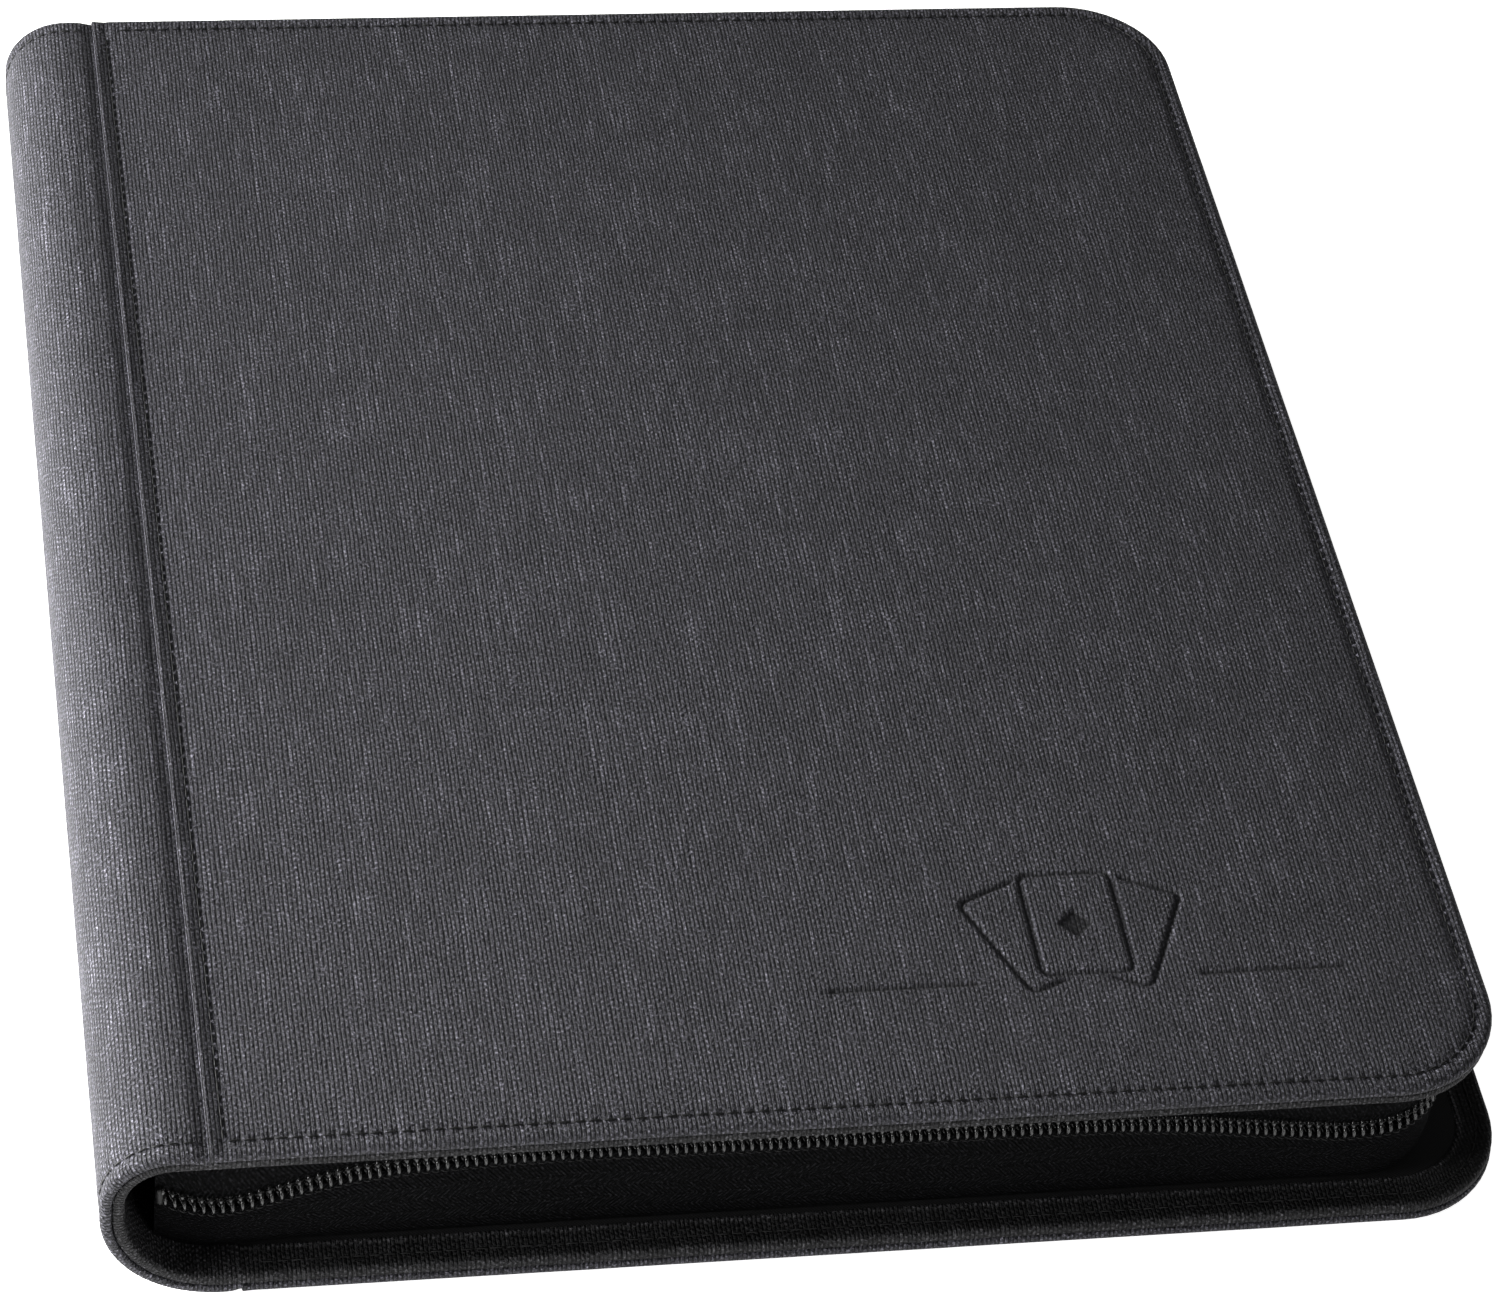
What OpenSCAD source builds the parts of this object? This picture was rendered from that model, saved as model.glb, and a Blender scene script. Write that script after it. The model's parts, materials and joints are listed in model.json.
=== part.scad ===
// Zip-round card binder: two padded covers joined by a rounded cloth spine, a coil zip
// round the three open sides, and twenty nine-pocket leaves bound to the five spine strips.
// The working frame has x = 0 at the front hinge seam and rising to the fore edge, y = 0 at
// the foot of the covers and z = 0 under the back cover. place() centres it on the origin.

/* [Covers] */
// Length of the covers along the spine
cover_length = 350; // [260:1:430]
// Width of the front panel from its hinge seam to the fore edge
panel_width = 258.5; // [200:0.5:330]
// Thickness of the closed binder
binder_thickness = 42; // [39:0.5:60]
// Radius of the two fore corners of each cover
corner_radius = 24; // [12:1:40]
// How far the back cover reaches past the front one at the fore edge
back_offset = 8; // [0:0.5:14]
// Thickness of the cover cloth
cloth = 0.8; // [0.5:0.1:1.2]
// Thickness of the foam pad under the cloth
foam = 1.5; // [0.8:0.1:3]
// Thickness of the stiff board
board = 2; // [1.2:0.1:3]
// Thickness of the lining
lining = 0.5; // [0.3:0.1:0.8]
// How far the turned-in hem runs in past the middle of the zip tape
hem_tuck = 0; // [0:0.5:3]
// Thickness of the hem where it wraps the board's edge
hem_wrap = 1.2; // [0.8:0.1:2]
// How far the hem's edge sits back from the cloth edge
hem_setback = 0.3; // [0.1:0.1:1]

/* [Spine] */
// How far the spine bulges out past the front hinge seam
spine_bulge = 20.4; // [16:0.1:26]
// Outer radius of the curve from the spine up to the front cover
top_radius = 14; // [8:0.5:16]
// Outer radius of the curve from the spine down to the back cover
base_radius = 24; // [14:0.5:25]
// Distance of the back hinge seam from the front one
back_seam = 7.5; // [7:0.5:16]
// Gap between two spine strips that turn against each other
strip_gap = 0.3; // [0.2:0.05:0.6]

/* [Zip] */
// Distance of the zip from the edge of the front cover
zip_inset = 8; // [6:0.5:12]
// Height of the middle of the zip chain
zip_level = 27; // [18:0.5:29]
// Thickness of the zip tape
tape = 0.7; // [0.4:0.1:1]
// Width of the sewn foot of each tape
tape_foot = 6; // [4:0.5:9]
// Height of one coil row
coil_height = 2; // [1.4:0.1:2.6]
// Thickness of one coil row across the tape
coil_depth = 2.4; // [1.8:0.1:3]
// Gap between the cores of the two coil rows
coil_gap = 1.2; // [1:0.1:1.6]
// How far the tape ends reach past the hinge seam into the spine
zip_tail = 6; // [3:0.5:8]
// Length of the metal stop at each end of the back row
stop_length = 1.6; // [1:0.1:3]

/* [Slider] */
// Length of the slider body
slider_length = 11.5; // [9:0.5:14]
// Height of the slider body across both coil rows
slider_height = 9.6; // [8.6:0.1:12]
// Thickness of each slider plate
slider_plate = 1; // [0.7:0.1:1.5]
// Clearance between slider and coil
slider_play = 0.4; // [0.3:0.05:0.6]
// Radius of the bar that carries the pull
bar_radius = 0.8; // [0.6:0.05:1.1]
// Clearance between the bar and the eye of the pull
eye_play = 0.35; // [0.2:0.05:0.5]
// Wall of the eye of the pull
eye_wall = 0.85; // [0.6:0.05:1.2]
// Length of the pull below its eye
pull_length = 19; // [12:0.5:21]
// Width of the pull
pull_width = 6; // [4.6:0.2:8]
// Thickness of the pull
pull_thickness = 1.2; // [0.8:0.1:1.8]

/* [Leaves] */
// Thickness of a leaf with its pockets empty
leaf_thickness = 0.7; // [0.5:0.05:1]
// Thickness of the black backing sheet in each leaf
leaf_core = 0.3; // [0.2:0.05:0.4]
// Distance of the leaf roots from the front hinge seam
leaf_root = 2.2; // [2:0.1:4]
// Gap between the fore edge of the leaves and the zip tape
fore_gap = 14; // [8:1:30]
// Gap between the head or foot of the leaves and the zip tape
head_gap = 17; // [8:1:30]
// Width of the binding margin of a leaf
binding_margin = 24; // [14:1:34]
// Width of the welds between pockets
weld = 2.4; // [1.6:0.2:4]
// Radius of the thumb notch in each pocket mouth
thumb_radius = 8; // [5:0.5:12]
// Thickness of the binding tapes behind the leaf roots
binding_tape = 0.6; // [0.4:0.1:1]
// Gap between one binding tape and the next
binding_gap = 0.4; // [0.3:0.1:0.8]
// Clearance between the root bead of a leaf and its binding tape
root_gap = 0.5; // [0.3:0.1:0.8]
// Radius of the welded bead along each leaf root
root_bead = 0.5; // [0.4:0.05:0.6]

/* [Emblem] */
// Depth of the pressed emblem
emblem_depth = 0.35; // [0.15:0.05:0.5]
// Distance of the emblem's centre from the fore edge
emblem_from_edge = 80.5; // [75:0.5:120]
// Distance of the emblem's centre from the foot of the cover
emblem_from_foot = 48; // [40:0.5:90]
// Width of one pressed card outline
emblem_card = 20; // [12:0.5:24]
// Width of the pressed lines
emblem_line = 1; // [0.6:0.1:1.6]

/* [Hidden] */
$fn = 64;
eps = 0.01;
hinge_step = 30;
leaf_count = 20;
group_size = 4;
hem_width = zip_inset + hem_tuck;
pad = cloth + foam;
cover_thickness = pad + board + lining;
back_edge = panel_width + back_offset;
mid_x = (back_edge - spine_bulge) / 2;
inner_low = cover_thickness;
inner_high = binder_thickness - cover_thickness;
base_centre = [base_radius - spine_bulge, base_radius];
top_centre = [top_radius - spine_bulge, binder_thickness - top_radius];
far_reach = cover_length + binder_thickness;
base_angles = [270 - hinge_step / 2, 270 - hinge_step * 3 / 2, 270 - hinge_step * 5 / 2];
top_angles = [180 - hinge_step / 2, 180 - hinge_step * 3 / 2, 180 - hinge_step * 5 / 2];
zip_radius = corner_radius - zip_inset;
zip_edge = panel_width - zip_inset;
zip_far = cover_length - zip_inset;
row_low = zip_level - coil_gap / 2 - coil_height;
row_high = zip_level + coil_gap / 2;
tape_step = inner_low + base_radius * 0.3;
slider_park = -zip_tail + stop_length + 0.5;
front_row_start = slider_park + slider_length + 2;
plate_in = coil_depth / 2 + slider_play;
plate_out = plate_in + slider_plate;
eye_bore = bar_radius + eye_play;
eye_outer = eye_bore + eye_wall;
bar_offset = plate_out + eye_outer + 0.3;
foot_lift = lining;
leaf_pitch = (inner_high - inner_low - 2 * foot_lift) / leaf_count;
leaf_width = zip_edge - fore_gap - leaf_root;
leaf_height = cover_length - 2 * (zip_inset + head_gap);
leaf_foot = zip_inset + head_gap;
pocket_width = (leaf_width - binding_margin - weld * 4) / 3;
pocket_height = (leaf_height - weld * 4) / 3;
binding_x = leaf_root - root_bead - root_gap - binding_tape;

black = [0.03, 0.03, 0.03];
charcoal = [0.17, 0.17, 0.18];
dark_cloth = [0.08, 0.08, 0.085];
board_grey = [0.45, 0.43, 0.40];
foam_grey = [0.32, 0.32, 0.33];
nylon = [0.05, 0.05, 0.05];
metal = [0.12, 0.12, 0.12];
film = [0.10, 0.10, 0.11];

// Moves the working frame so that the origin is under the middle of the closed binder.
module place() {
    translate([-mid_x, -cover_length / 2, 0]) children();
}

// Flat plate outline from x0 to x1 and y0 to y1 whose two fore corners have radius r.
module fore_outline(x0, x1, y0, y1, r) {
    translate([x0, y0]) square([x1 - x0 - r, y1 - y0]);
    translate([x1 - r - eps, y0 + r]) square([r + eps, y1 - y0 - 2 * r]);
    translate([x1 - r, y0 + r]) circle(r);
    translate([x1 - r, y1 - r]) circle(r);
}

// Outline of a cover that starts at x0 and ends at edge, brought in by inset on three sides.
module cover_outline(x0, edge, inset) {
    fore_outline(x0, edge - inset, inset, cover_length - inset, corner_radius - inset);
}

// Plate of a cover outline between the depths d0 and d1 under the outer face of the back cover.
module cover_layer(x0, edge, inset, d0, d1) {
    translate([0, 0, d0]) linear_extrude(d1 - d0) cover_outline(x0, edge, inset);
}

// Turns a layer stack built for the back cover over, so that it hangs from the top face.
module as_front() {
    translate([0, 0, binder_thickness]) mirror([0, 0, 1]) children();
}

// Cloth tray: the face with its edge turned down round all four sides.
module cloth_tray(x0, edge) {
    difference() {
        cover_layer(x0, edge, 0, 0, pad);
        translate([0, 0, cloth]) linear_extrude(pad) cover_outline(x0 + cloth, edge, cloth);
    }
}

// Stiff board inside the hem.
module stiff_board(x0, edge) {
    cover_layer(x0, edge, hem_setback + hem_wrap, pad, pad + board);
}

// Hem: a strip that wraps the edge of the board and turns in over it on three sides.
module hem(x0, edge) {
    difference() {
        cover_layer(x0, edge, hem_setback, pad, cover_thickness);
        cover_layer(x0 - 1, edge, hem_width, pad - 1, cover_thickness + 1);
        cover_layer(x0 - 1, edge, hem_setback + hem_wrap, pad - 1, pad + board);
    }
}

// Lining inside the hem.
module inner_lining(x0, edge) {
    cover_layer(x0, edge, hem_width, pad + board, cover_thickness);
}

// Radial slot, one strip gap wide, where two spine strips meet at an angle of an arc.
module strip_slot(centre, angle) {
    translate(centre) rotate(angle) translate([0, -strip_gap / 2]) square([far_reach, strip_gap]);
}

// Part of a curved band between two depths and two angles.
module arc_band(centre, radius, d0, d1, a0, a1) {
    reach = 2 * radius;
    translate(centre) intersection() {
        difference() {
            circle(radius - d0);
            circle(radius - d1);
        }
        polygon([[0, 0], reach * [cos(a0), sin(a0)], reach * [cos(a1), sin(a1)]]);
    }
}

// Extrudes a spine section drawn in x and z along the whole length of the cover.
module along_spine(inset) {
    translate([0, cover_length - inset, 0]) rotate([90, 0, 0])
        linear_extrude(cover_length - 2 * inset) children();
}

// Spine band between depths d0 and d1 that belongs to the back cover.
module back_band(d0, d1) {
    difference() {
        union() {
            translate([base_centre[0], d0]) square([back_seam - base_centre[0], d1 - d0]);
            arc_band(base_centre, base_radius, d0, d1, base_angles[0], 270);
        }
        strip_slot(base_centre, base_angles[0]);
    }
}

// Spine band between depths d0 and d1 that belongs to the front cover.
module front_band(d0, d1) {
    difference() {
        union() {
            translate([top_centre[0], binder_thickness - d1]) square([-top_centre[0], d1 - d0]);
            arc_band(top_centre, top_radius, d0, d1, 90, top_angles[2]);
        }
        strip_slot(top_centre, top_angles[2]);
    }
}

// Spine band between two hinges on one of the two arcs.
module arc_strip(centre, radius, angles, i, d0, d1) {
    difference() {
        arc_band(centre, radius, d0, d1, angles[i + 1], angles[i]);
        strip_slot(centre, angles[i]);
        strip_slot(centre, angles[i + 1]);
    }
}

// Middle spine band: the end of the base arc, the upright stretch and the start of the top arc.
module middle_strip(d0, d1) {
    difference() {
        union() {
            arc_band(base_centre, base_radius, d0, d1, 180, base_angles[2]);
            arc_band(top_centre, top_radius, d0, d1, top_angles[0], 180);
            translate([-spine_bulge + d0, base_centre[1] - eps])
                square([d1 - d0, top_centre[1] - base_centre[1] + 2 * eps]);
        }
        strip_slot(base_centre, base_angles[2]);
        strip_slot(top_centre, top_angles[0]);
    }
}

// Spine bands numbered from the back cover to the front cover.
module spine_band(number, d0, d1) {
    if (number == 1) arc_strip(base_centre, base_radius, base_angles, 0, d0, d1);
    if (number == 2) arc_strip(base_centre, base_radius, base_angles, 1, d0, d1);
    if (number == 3) middle_strip(d0, d1);
    if (number == 4) arc_strip(top_centre, top_radius, top_angles, 0, d0, d1);
    if (number == 5) arc_strip(top_centre, top_radius, top_angles, 1, d0, d1);
}

module spine_strip(number) {
    color(charcoal) place() along_spine(0) spine_band(number, 0, pad);
}

module spine_lining(number) {
    color(dark_cloth) place() along_spine(hem_setback) spine_band(number, pad, cover_thickness);
}

// Region inside the zip, grown by grow.
module zip_region(grow) {
    fore_outline(-zip_tail - 20, zip_edge + grow, zip_inset - grow, zip_far + grow,
                 zip_radius + grow);
}

// Band along the zip from inner to outer, measured across the tape.
module zip_band(inner, outer) {
    difference() {
        zip_region(outer);
        zip_region(inner);
    }
}

// Cuts the ends of a zip band off at near_start on the foot side and far_start on the head side.
module trim_zip(near_start, far_start) {
    intersection() {
        children();
        union() {
            translate([near_start, 0]) square([back_edge - near_start, cover_length / 2]);
            translate([far_start, cover_length / 2 - eps])
                square([back_edge - far_start, cover_length / 2 + eps]);
        }
    }
}

// Upright part of a tape.
module tape_wall(near_start, far_start, z0, z1) {
    translate([0, 0, z0]) linear_extrude(z1 - z0)
        trim_zip(near_start, far_start) zip_band(-tape / 2, tape / 2);
}

// Sewn foot of a tape, lying on the lining.
module tape_base(start, z0) {
    translate([0, 0, z0]) linear_extrude(foot_lift)
        trim_zip(start, start) zip_band(-tape_foot, tape / 2);
}

// One coil row.
module coil_row(near_start, far_start, z0) {
    translate([0, 0, z0]) linear_extrude(coil_height)
        trim_zip(near_start, far_start) zip_band(-coil_depth / 2, coil_depth / 2);
}

// Metal stop on the end of the back row, on the side of the binder at height y.
module row_stop(y) {
    depth = coil_depth + 0.6;
    translate([-zip_tail, y - depth / 2, row_low]) cube([stop_length, depth, coil_height + 0.3]);
}

// One slider plate, drawn in x and z: a straight body with a rounded nose.
module slider_outline() {
    nose = slider_height / 2 - 1;
    translate([0, -slider_height / 2 + 0.6]) square([slider_length - nose, slider_height - 1.2]);
    translate([0.6, -slider_height / 2]) square([slider_length - nose - 0.6, slider_height]);
    translate([slider_length - nose, 0]) intersection() {
        circle(slider_height / 2);
        translate([-eps, -slider_height]) square([nose + eps, 2 * slider_height]);
    }
}

// Puts a shape drawn in x and z at the slider, from y0 to y1 out from the middle of the tape.
module at_slider(y0, y1) {
    translate([slider_park, zip_far + y1, zip_level]) rotate([90, 0, 0])
        linear_extrude(y1 - y0) children();
}

// Leaf number i, counted from 0 at the back cover. The second leaf of each group of four is
// welded to its binding tape, and the others turn on their root beads.
module leaf(i) {
    z = inner_low + foot_lift + (i + 0.5) * leaf_pitch;
    skin = (leaf_thickness - leaf_core) / 2;
    root = i % group_size == 1 ? binding_x + binding_tape : leaf_root;
    color(film) place() {
        translate([root, leaf_foot, z - leaf_core / 2]) linear_extrude(leaf_core)
            fore_outline(0, leaf_root + leaf_width - root, 0, leaf_height, 4);
        translate([leaf_root, leaf_foot + leaf_height, z]) rotate([90, 0, 0])
            cylinder(h = leaf_height, r = root_bead);
        for (side = [-1, 1])
            translate([0, 0, z + side * (leaf_core + skin) / 2 - skin / 2])
                linear_extrude(skin) pocket_sheet();
    }
}

// The nine pocket films of one face, each with a thumb notch in its mouth.
module pocket_sheet() {
    for (column = [0:2], row = [0:2])
        translate([leaf_root + binding_margin + weld + column * (pocket_width + weld),
                   leaf_foot + weld + row * (pocket_height + weld)])
            difference() {
                square([pocket_width, pocket_height]);
                translate([0, pocket_height / 2]) circle(thumb_radius);
            }
}

// Point on the inner face of the spine where binding tape number 1 to 5 is sewn on.
function binding_seat(number) =
    number < 3
        ? base_centre + (base_radius - cover_thickness) * [cos(270 - hinge_step * number),
                                                           sin(270 - hinge_step * number)]
    : number == 3 ? [cover_thickness - spine_bulge, base_centre[1]]
    : top_centre + (top_radius - cover_thickness) * [cos(180 - hinge_step * (number - 3)),
                                                     sin(180 - hinge_step * (number - 3))];

// Binding tape section in x and z: an arm from the spine lining and a wall behind four roots.
module binding_section(number) {
    low = inner_low + foot_lift + (number - 1) * group_size * leaf_pitch + binding_gap / 2;
    high = low + group_size * leaf_pitch - binding_gap;
    seat = binding_seat(number);
    middle = (low + high) / 2;
    half = binding_tape / 2;
    translate([binding_x, low]) square([binding_tape, high - low]);
    difference() {
        polygon([[seat[0] - 1.5, seat[1] - half], [seat[0] - 1.5, seat[1] + half], [seat[0], seat[1] + half],
                 [binding_x + half, middle + half], [binding_x + half, middle - half],
                 [seat[0], seat[1] - half]]);
        spine_band(number, 0, cover_thickness);
    }
}

// Outline of one card with round corners, width w, round the origin.
module card_shape(w) {
    h = w * 1.4;
    r = w * 0.12;
    square([w - 2 * r, h], center = true);
    square([w, h - 2 * r], center = true);
    for (sx = [-1, 1], sy = [-1, 1])
        translate([sx * (w / 2 - r), sy * (h / 2 - r)]) circle(r);
}

// Line drawing of one card.
module card_frame(w) {
    difference() {
        card_shape(w);
        card_shape(w - 2 * emblem_line);
    }
}

// Emblem: three blank cards in a fan, a small diamond on the front one, and two plain rules.
module emblem_drawing() {
    fan = 24;
    drop = emblem_card * 1.1;
    rule = emblem_card * 1.5;
    for (side = [-1, 1]) {
        difference() {
            translate([0, -drop]) rotate(-side * fan) translate([0, drop]) card_frame(emblem_card);
            card_shape(emblem_card + emblem_line);
        }
        translate([side * (emblem_card * 1.9), -emblem_card * 0.75])
            square([rule, emblem_line], center = true);
    }
    card_frame(emblem_card);
    rotate(45) square(emblem_card * 0.28, center = true);
}

module back_cloth() {
    color(charcoal) place() cloth_tray(back_seam, back_edge);
}

module back_foam() {
    color(foam_grey) place() cover_layer(back_seam + cloth, back_edge, cloth, cloth, pad);
}

module back_board() {
    color(board_grey) place() stiff_board(back_seam, back_edge);
}

module back_hem() {
    color(dark_cloth) place() hem(back_seam, back_edge);
}

module back_lining() {
    color(black) place() inner_lining(back_seam, back_edge);
}

module back_spine_strip() {
    color(charcoal) place() along_spine(0) back_band(0, pad);
}

module back_spine_lining() {
    color(dark_cloth) place() along_spine(hem_setback) back_band(pad, cover_thickness);
}

// Front cloth tray with the emblem pressed into its face.
module front_cloth() {
    color(charcoal) place() difference() {
        as_front() cloth_tray(0, panel_width);
        translate([panel_width - emblem_from_edge, emblem_from_foot, binder_thickness - emblem_depth])
            linear_extrude(emblem_depth + 1) emblem_drawing();
    }
}

module front_foam() {
    color(foam_grey) place() as_front() cover_layer(cloth, panel_width, cloth, cloth, pad);
}

module front_board() {
    color(board_grey) place() as_front() stiff_board(0, panel_width);
}

module front_hem() {
    color(dark_cloth) place() as_front() hem(0, panel_width);
}

module front_lining() {
    color(black) place() as_front() inner_lining(0, panel_width);
}

module front_spine_strip() {
    color(charcoal) place() along_spine(0) front_band(0, pad);
}

module front_spine_lining() {
    color(dark_cloth) place() along_spine(hem_setback) front_band(pad, cover_thickness);
}

module spine_strip_1() { spine_strip(1); }

module spine_strip_2() { spine_strip(2); }

module spine_strip_3() { spine_strip(3); }

module spine_strip_4() { spine_strip(4); }

module spine_strip_5() { spine_strip(5); }

module spine_lining_1() { spine_lining(1); }

module spine_lining_2() { spine_lining(2); }

module spine_lining_3() { spine_lining(3); }

module spine_lining_4() { spine_lining(4); }

module spine_lining_5() { spine_lining(5); }

// Back tape, wide, with its lower corners cut back so that they clear the curl of the spine.
module back_zip_tape() {
    color(black) place() {
        difference() {
            tape_wall(-zip_tail, -zip_tail, inner_low, row_low);
            translate([-zip_tail - 1, -1, 0])
                cube([zip_tail + 1 + back_seam, cover_length + 2, tape_step]);
        }
        tape_base(back_seam, inner_low);
    }
}

module front_zip_tape() {
    color(black) place() {
        tape_wall(-zip_tail, front_row_start, row_high + coil_height, inner_high);
        tape_base(front_row_start, inner_high - foot_lift);
    }
}

module back_zip_coil() {
    start = -zip_tail + stop_length;
    color(nylon) place() coil_row(start, start, row_low);
}

module front_zip_coil() {
    color(nylon) place() coil_row(-zip_tail, front_row_start, row_high);
}

module zip_start_stop() {
    color(metal) place() row_stop(zip_inset);
}

module zip_end_stop() {
    color(metal) place() row_stop(zip_far);
}

// Slider body: two plates joined by a thin divider between the rows, with curled edges.
module slider_body() {
    curl = coil_height + coil_gap / 2 + slider_play;
    color(metal) place() {
        at_slider(plate_in, plate_out) slider_outline();
        at_slider(-plate_out, -plate_in) slider_outline();
        at_slider(-plate_in, plate_in) translate([0.6, -coil_gap / 4]) square([4, coil_gap / 2]);
        for (low = [-slider_height / 2, curl], y = [tape / 2 + slider_play, -plate_in])
            at_slider(y, y + plate_in - tape / 2 - slider_play)
                translate([0.6, low]) square([slider_length * 0.5, slider_height / 2 - curl]);
    }
}

// Bridge over the outer plate, with the bar that the pull swings on.
module slider_bridge() {
    foot = 1;
    span = slider_length - 4;
    color(metal) place() {
        for (x = [2, 2 + span - foot])
            at_slider(plate_out, bar_offset) translate([x, -bar_radius]) square([foot, 2 * bar_radius]);
        translate([slider_park + 2, zip_far + bar_offset, zip_level]) rotate([0, 90, 0])
            cylinder(h = span, r = bar_radius);
    }
}

// Pull: an eye round the bar and a flat tab that hangs below it.
module slider_pull() {
    eye_length = slider_length - 4 - 2 - 1.2;
    middle = slider_park + slider_length / 2;
    end_radius = pull_width / 2;
    color(metal) place() translate([middle, zip_far + bar_offset, zip_level]) difference() {
        union() {
            translate([-eye_length / 2, 0, 0]) rotate([0, 90, 0])
                cylinder(h = eye_length, r = eye_outer);
            rotate([90, 0, 0]) translate([0, 0, -pull_thickness / 2]) linear_extrude(pull_thickness) {
                translate([-eye_length / 2, -eye_outer - 3]) square([eye_length, eye_outer + 3]);
                translate([-pull_width / 2, -pull_length + end_radius])
                    square([pull_width, pull_length - end_radius - eye_outer - 1]);
                translate([0, -pull_length + end_radius]) circle(end_radius);
            }
        }
        translate([-eye_length, 0, 0]) rotate([0, 90, 0]) cylinder(h = 2 * eye_length, r = eye_bore);
        translate([0, pull_thickness, -pull_length + end_radius]) rotate([90, 0, 0])
            cylinder(h = 2 * pull_thickness, r = end_radius * 0.45);
    }
}

module binding(number) {
    color(dark_cloth) place() along_spine(leaf_foot - 4) binding_section(number);
}

module binding_tape_1() { binding(1); }

module binding_tape_2() { binding(2); }

module binding_tape_3() { binding(3); }

module binding_tape_4() { binding(4); }

module binding_tape_5() { binding(5); }

module leaf_01() { leaf(0); }

module leaf_02() { leaf(1); }

module leaf_03() { leaf(2); }

module leaf_04() { leaf(3); }

module leaf_05() { leaf(4); }

module leaf_06() { leaf(5); }

module leaf_07() { leaf(6); }

module leaf_08() { leaf(7); }

module leaf_09() { leaf(8); }

module leaf_10() { leaf(9); }

module leaf_11() { leaf(10); }

module leaf_12() { leaf(11); }

module leaf_13() { leaf(12); }

module leaf_14() { leaf(13); }

module leaf_15() { leaf(14); }

module leaf_16() { leaf(15); }

module leaf_17() { leaf(16); }

module leaf_18() { leaf(17); }

module leaf_19() { leaf(18); }

module leaf_20() { leaf(19); }

back_cloth();
back_foam();
back_board();
back_hem();
back_lining();
back_spine_strip();
back_spine_lining();
front_cloth();
front_foam();
front_board();
front_hem();
front_lining();
front_spine_strip();
front_spine_lining();
spine_strip_1();
spine_strip_2();
spine_strip_3();
spine_strip_4();
spine_strip_5();
spine_lining_1();
spine_lining_2();
spine_lining_3();
spine_lining_4();
spine_lining_5();
back_zip_tape();
front_zip_tape();
back_zip_coil();
front_zip_coil();
zip_start_stop();
zip_end_stop();
slider_body();
slider_bridge();
slider_pull();
binding_tape_1();
binding_tape_2();
binding_tape_3();
binding_tape_4();
binding_tape_5();
leaf_01();
leaf_02();
leaf_03();
leaf_04();
leaf_05();
leaf_06();
leaf_07();
leaf_08();
leaf_09();
leaf_10();
leaf_11();
leaf_12();
leaf_13();
leaf_14();
leaf_15();
leaf_16();
leaf_17();
leaf_18();
leaf_19();
leaf_20();
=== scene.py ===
"""Looks of a zip-round trading card binder.

Padded covers in ribbed book cloth, a rounded cloth spine, a meshed nylon zip on its twill tapes,
sewn edges, and the pocket leaves inside. Lengths inside the classes are in millimetres on the
maker's bench: x runs from the front hinge seam to the fore edge, y from the foot of the covers to
the head and z up from the underside. Bench.place() puts them into the part's own frame.
"""

import json
import logging
import math
import re
from dataclasses import dataclass, field
from enum import Enum
from typing import Optional, Sequence

import bmesh
import bpy
import numpy as np
from mathutils import Matrix, Vector


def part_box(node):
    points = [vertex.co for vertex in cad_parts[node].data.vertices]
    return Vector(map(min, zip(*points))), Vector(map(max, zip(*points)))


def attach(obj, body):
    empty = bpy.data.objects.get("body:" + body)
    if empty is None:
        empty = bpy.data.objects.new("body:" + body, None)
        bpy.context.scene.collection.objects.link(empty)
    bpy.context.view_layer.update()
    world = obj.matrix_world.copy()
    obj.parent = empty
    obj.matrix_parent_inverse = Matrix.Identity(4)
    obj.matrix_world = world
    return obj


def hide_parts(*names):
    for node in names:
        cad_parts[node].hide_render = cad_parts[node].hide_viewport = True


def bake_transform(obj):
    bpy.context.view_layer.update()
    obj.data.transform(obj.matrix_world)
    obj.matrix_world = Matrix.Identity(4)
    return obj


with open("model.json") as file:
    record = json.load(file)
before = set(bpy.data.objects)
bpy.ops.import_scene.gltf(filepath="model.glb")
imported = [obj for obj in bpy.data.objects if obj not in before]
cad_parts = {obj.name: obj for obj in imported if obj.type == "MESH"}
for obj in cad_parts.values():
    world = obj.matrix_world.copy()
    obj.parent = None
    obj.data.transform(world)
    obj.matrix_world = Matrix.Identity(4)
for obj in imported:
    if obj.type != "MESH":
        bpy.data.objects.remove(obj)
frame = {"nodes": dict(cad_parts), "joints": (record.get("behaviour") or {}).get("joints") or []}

Array = np.ndarray
Material = bpy.types.Material
Piece = bpy.types.Object
Socket = bpy.types.NodeSocket

LOG = logging.getLogger("binder")

# Metres in a millimetre.
MM = 0.001
# Names under which a mesh stores the place on the flat cloth and the place at the sewn edge.
WEAVE = "weave"
EDGE = "edge"

# How far short of the cover's edge the flat field of a panel stops, and its straight columns, in mm.
FIELD_INSET = 8.0
COLUMNS_INSET = 26.0
# Inset stored for points of the field, and for points that lie clear of any sewn edge.
FIELD_EDGE = 20.0
FAR_EDGE = 99.0
# Sewing round the covers and the spine, in mm: the row's inset, pitch and depth, then the thread.
STITCH_INSET = 3.8
STITCH_PITCH = 3.0
STITCH_DEPTH = 0.36
THREAD_RADIUS = 0.2
THREAD_ARCH = 0.16
THREAD_POINTS = 6
THREAD_SIDES = 5

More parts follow.
